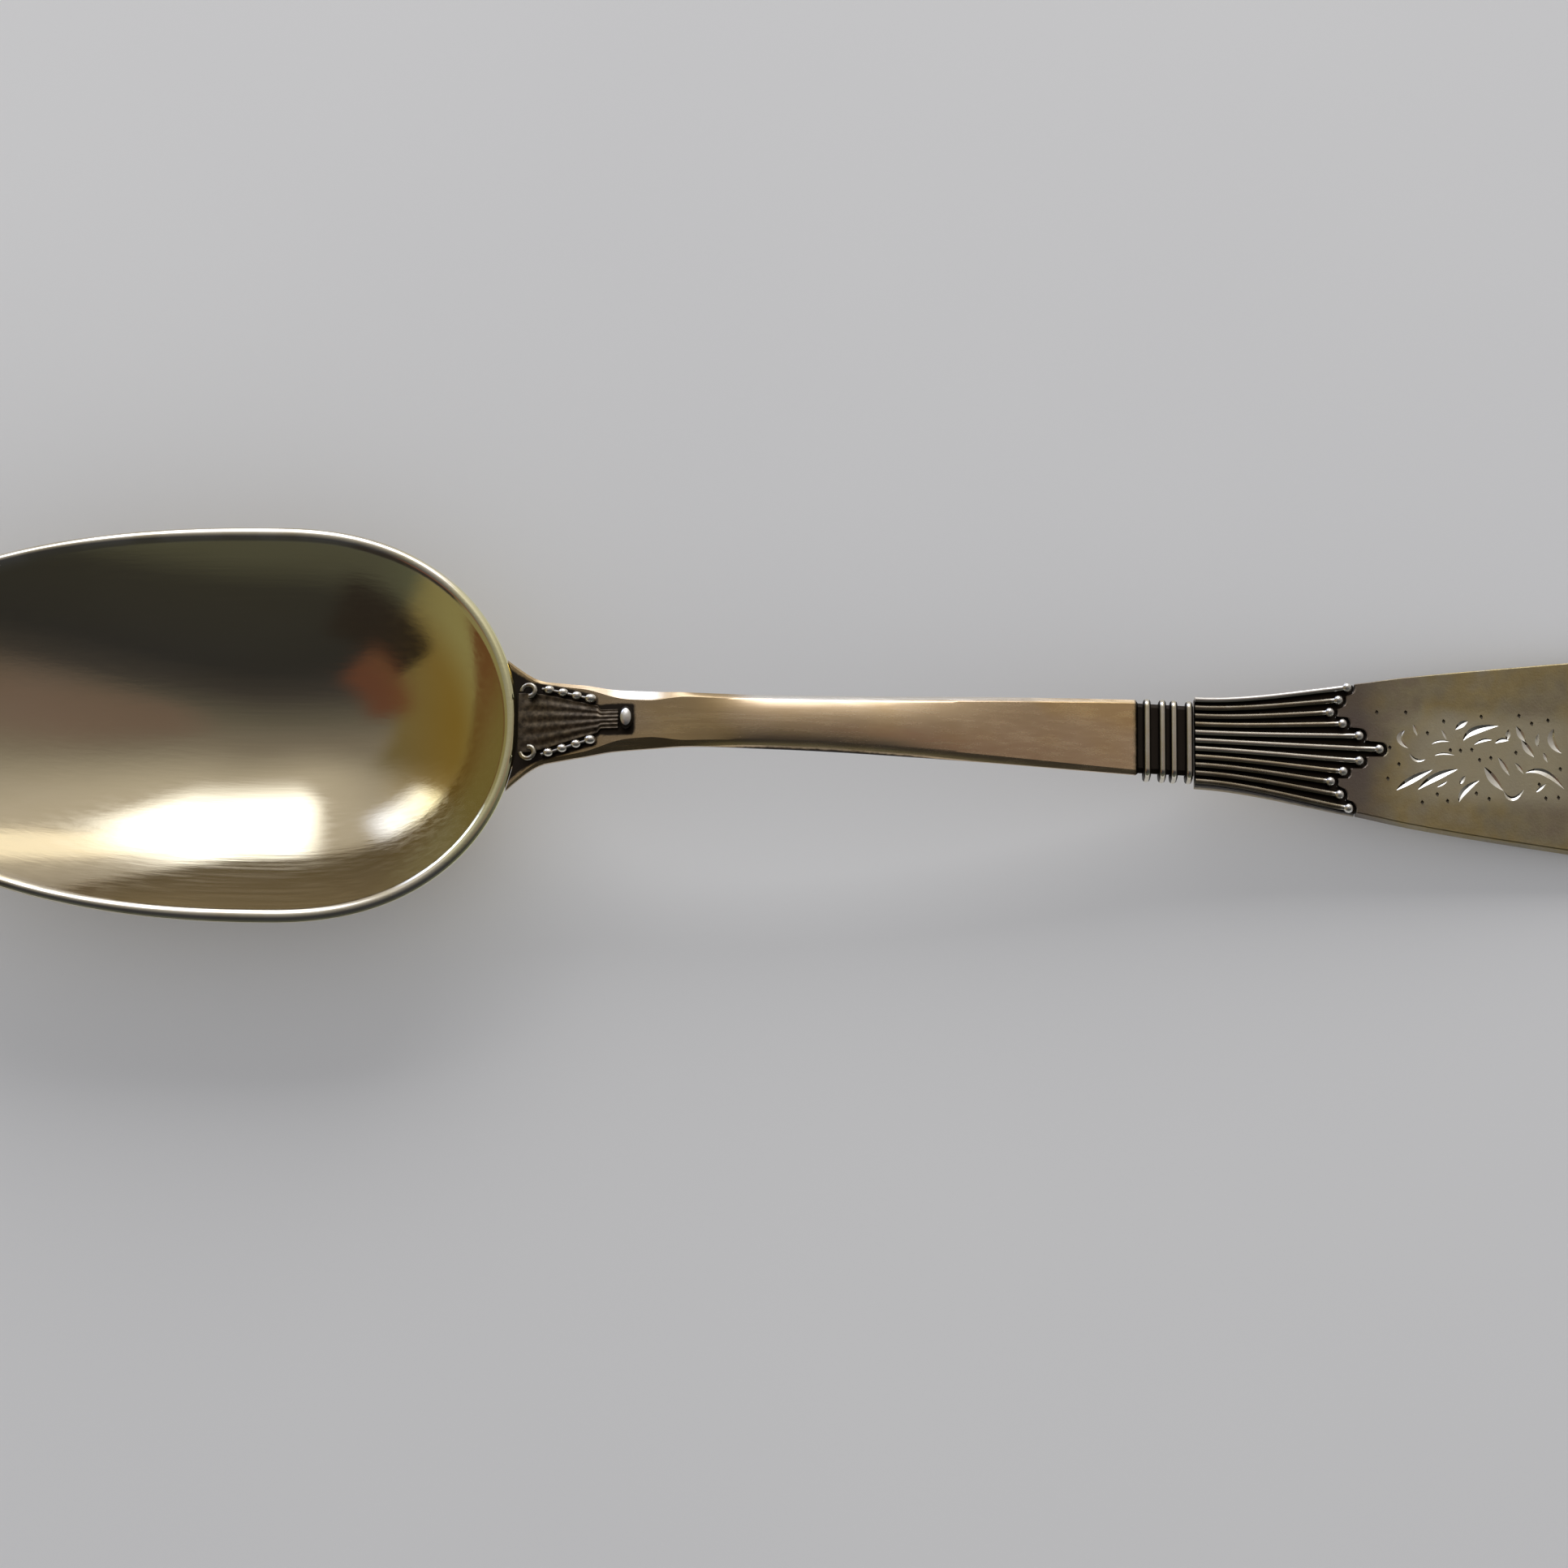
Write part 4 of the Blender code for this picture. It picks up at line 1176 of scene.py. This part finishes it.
def patch(turn, sides, side_softness, heights, height_softness, strength=1.0):
    """Strength inside a patch of the room and 0 outside it, in degrees: its two sides by their turn
    from straight across the spoon, to the far or the near side, and its top and foot by their fall
    from overhead."""
    edges = []
    for value, places, softness in ((turn, sides, side_softness), (fall, heights, height_softness)):
        for place, soft, ends in zip(places, softness, ((0.0, 1.0), (1.0, 0.0))):
            edges.append(span(tree, value, place - soft / 2, place + soft / 2, *ends))
    return times(tree, *edges, strength)


def lit(tree, below, share, colour):
    return blend_colours(tree, share, below, (*colour, 1), "ADD")


def painted(tree, below, share, colour):
    return blend_colours(tree, share, below, (*colour, 1))


room = ramp(
    tree,
    span(tree, parts.outputs["Y"], -1, 1, smooth=False),
    (0.0, (0.050, 0.051, 0.047)),
    (0.26, (0.038, 0.039, 0.043)),
    (0.36, (0.066, 0.063, 0.066)),
    (0.48, (0.15, 0.145, 0.132)),
    (0.62, (0.27, 0.25, 0.23)),
    (0.76, (0.33, 0.31, 0.28)),
    (1.0, (0.33, 0.30, 0.28)),
)
window_glow = patch(turn, (-42, 40), (44, 36), (28, 86), (30, 30))
room = lit(tree, room, window_glow, (0.36, 0.35, 0.33))
near_wall = patch(near_turn, (-80, 100), (20, 40), (66, 140), (12, 10))
room = lit(tree, room, near_wall, (0.055, 0.060, 0.040))
rosy_wall = patch(turn, (58, 108), (30, 36), (13, 38), (12, 14), 0.8)
room = painted(tree, room, rosy_wall, (0.23, 0.17, 0.155))
gold_wall = patch(near_turn, (46, 126), (10, 24), (44, 140), (10, 10))
room = painted(tree, room, gold_wall, (0.21, 0.18, 0.10))
dark_corner = patch(near_turn, (22, 64), (10, 6), (48, 68), (8, 8))
room = painted(tree, room, dark_corner, (0.035, 0.030, 0.028))
brown_door = patch(near_turn, (43, 88), (12, 16), (33, 51), (10, 12), 0.9)
room = painted(tree, room, brown_door, (0.17, 0.075, 0.05))
low_shadow = patch(near_turn, (92, 110), (4, 4), (83, 89), (3, 3), 0.8)
room = painted(tree, room, low_shadow, (0.11, 0.08, 0.04))
# the first window's sides lean apart at the top
left_turn = maths(tree, "SUBTRACT", turn, span(tree, fall, 50, 90, 0, 10, smooth=False))
right_turn = maths(tree, "ADD", turn, span(tree, fall, 59, 89, 0, 22, smooth=False))
first_window = patch(left_turn, (-18.5, 90), (9, 5), (45, 84), (24, 8))
first_window = times(tree, first_window, span(tree, right_turn, 23, 13))
room = lit(tree, room, first_window, (2.6, 2.8, 3.3))
sill = patch(turn, (7, 26), (8, 8), (64, 76), (5, 5))
room = lit(tree, room, sill, (0.9, 0.85, 0.75))
second_window = patch(turn, (-50, -29), (8, 10), (69, 97), (12, 8))
room = lit(tree, room, second_window, (1.5, 1.8, 2.8))

# The matt table is lit by an even sky and by one soft lamp from the windows' side.
matt_ray = node(tree, "ShaderNodeLightPath").outputs["Is Diffuse Ray"]
sky = ramp(
    tree,
    span(tree, parts.outputs["Y"], -1, 1, smooth=False),
    (0.0, (0.74, 0.74, 0.745)),
    (0.5, (0.39, 0.39, 0.395)),
    (1.0, (0.20, 0.20, 0.205)),
)
tree.links.new(blend_colours(tree, matt_ray, room, sky), background.inputs["Color"])
world.cycles.sampling_method = "NONE"

lamp = bpy.data.lights.new("window_light", "AREA")
lamp.shape = "RECTANGLE"
lamp.size, lamp.size_y = 0.62, 0.42
lamp.energy = 2.7
lamp.color = (1.0, 0.99, 0.97)
lamp_way = Vector((-0.10, 0.92, 0.36)).normalized()
lamp_reach = 0.62
lamp_turn = lamp_way.to_track_quat("Z", "Y").to_matrix().to_4x4()
window_light = bpy.data.objects.new("window_light", lamp)
window_light.matrix_world = Matrix.Translation(lamp_way * lamp_reach) @ lamp_turn
window_light.visible_glossy = False
bpy.context.scene.collection.objects.link(window_light)

# The camera stands steeply over the spoon, a little on its near side.
rise, turned, tilt = math.radians(76.15), math.radians(0.35), math.radians(0.94)
distance = 0.45
target = Vector((-0.00068, -0.00378, 0.006))
flat = math.cos(rise)
toward = Vector((-math.sin(turned) * flat, -math.cos(turned) * flat, math.sin(rise)))
right = (-toward).cross(Vector((0, 0, 1))).normalized()
up = right.cross(-toward)
right, up = (
    right * math.cos(tilt) + up * math.sin(tilt),
    up * math.cos(tilt) - right * math.sin(tilt),
)
lens = bpy.data.cameras.new("camera")
lens.lens = 133.2
lens.sensor_width = 36
lens.clip_start = 0.01
camera = bpy.data.objects.new("camera", lens)
bpy.context.scene.collection.objects.link(camera)
camera_turn = Matrix((right, up, toward)).transposed().to_4x4()
camera.matrix_world = Matrix.Translation(target + toward * distance) @ camera_turn
bpy.context.scene.camera = camera
bpy.context.scene.view_settings.view_transform = "Standard"
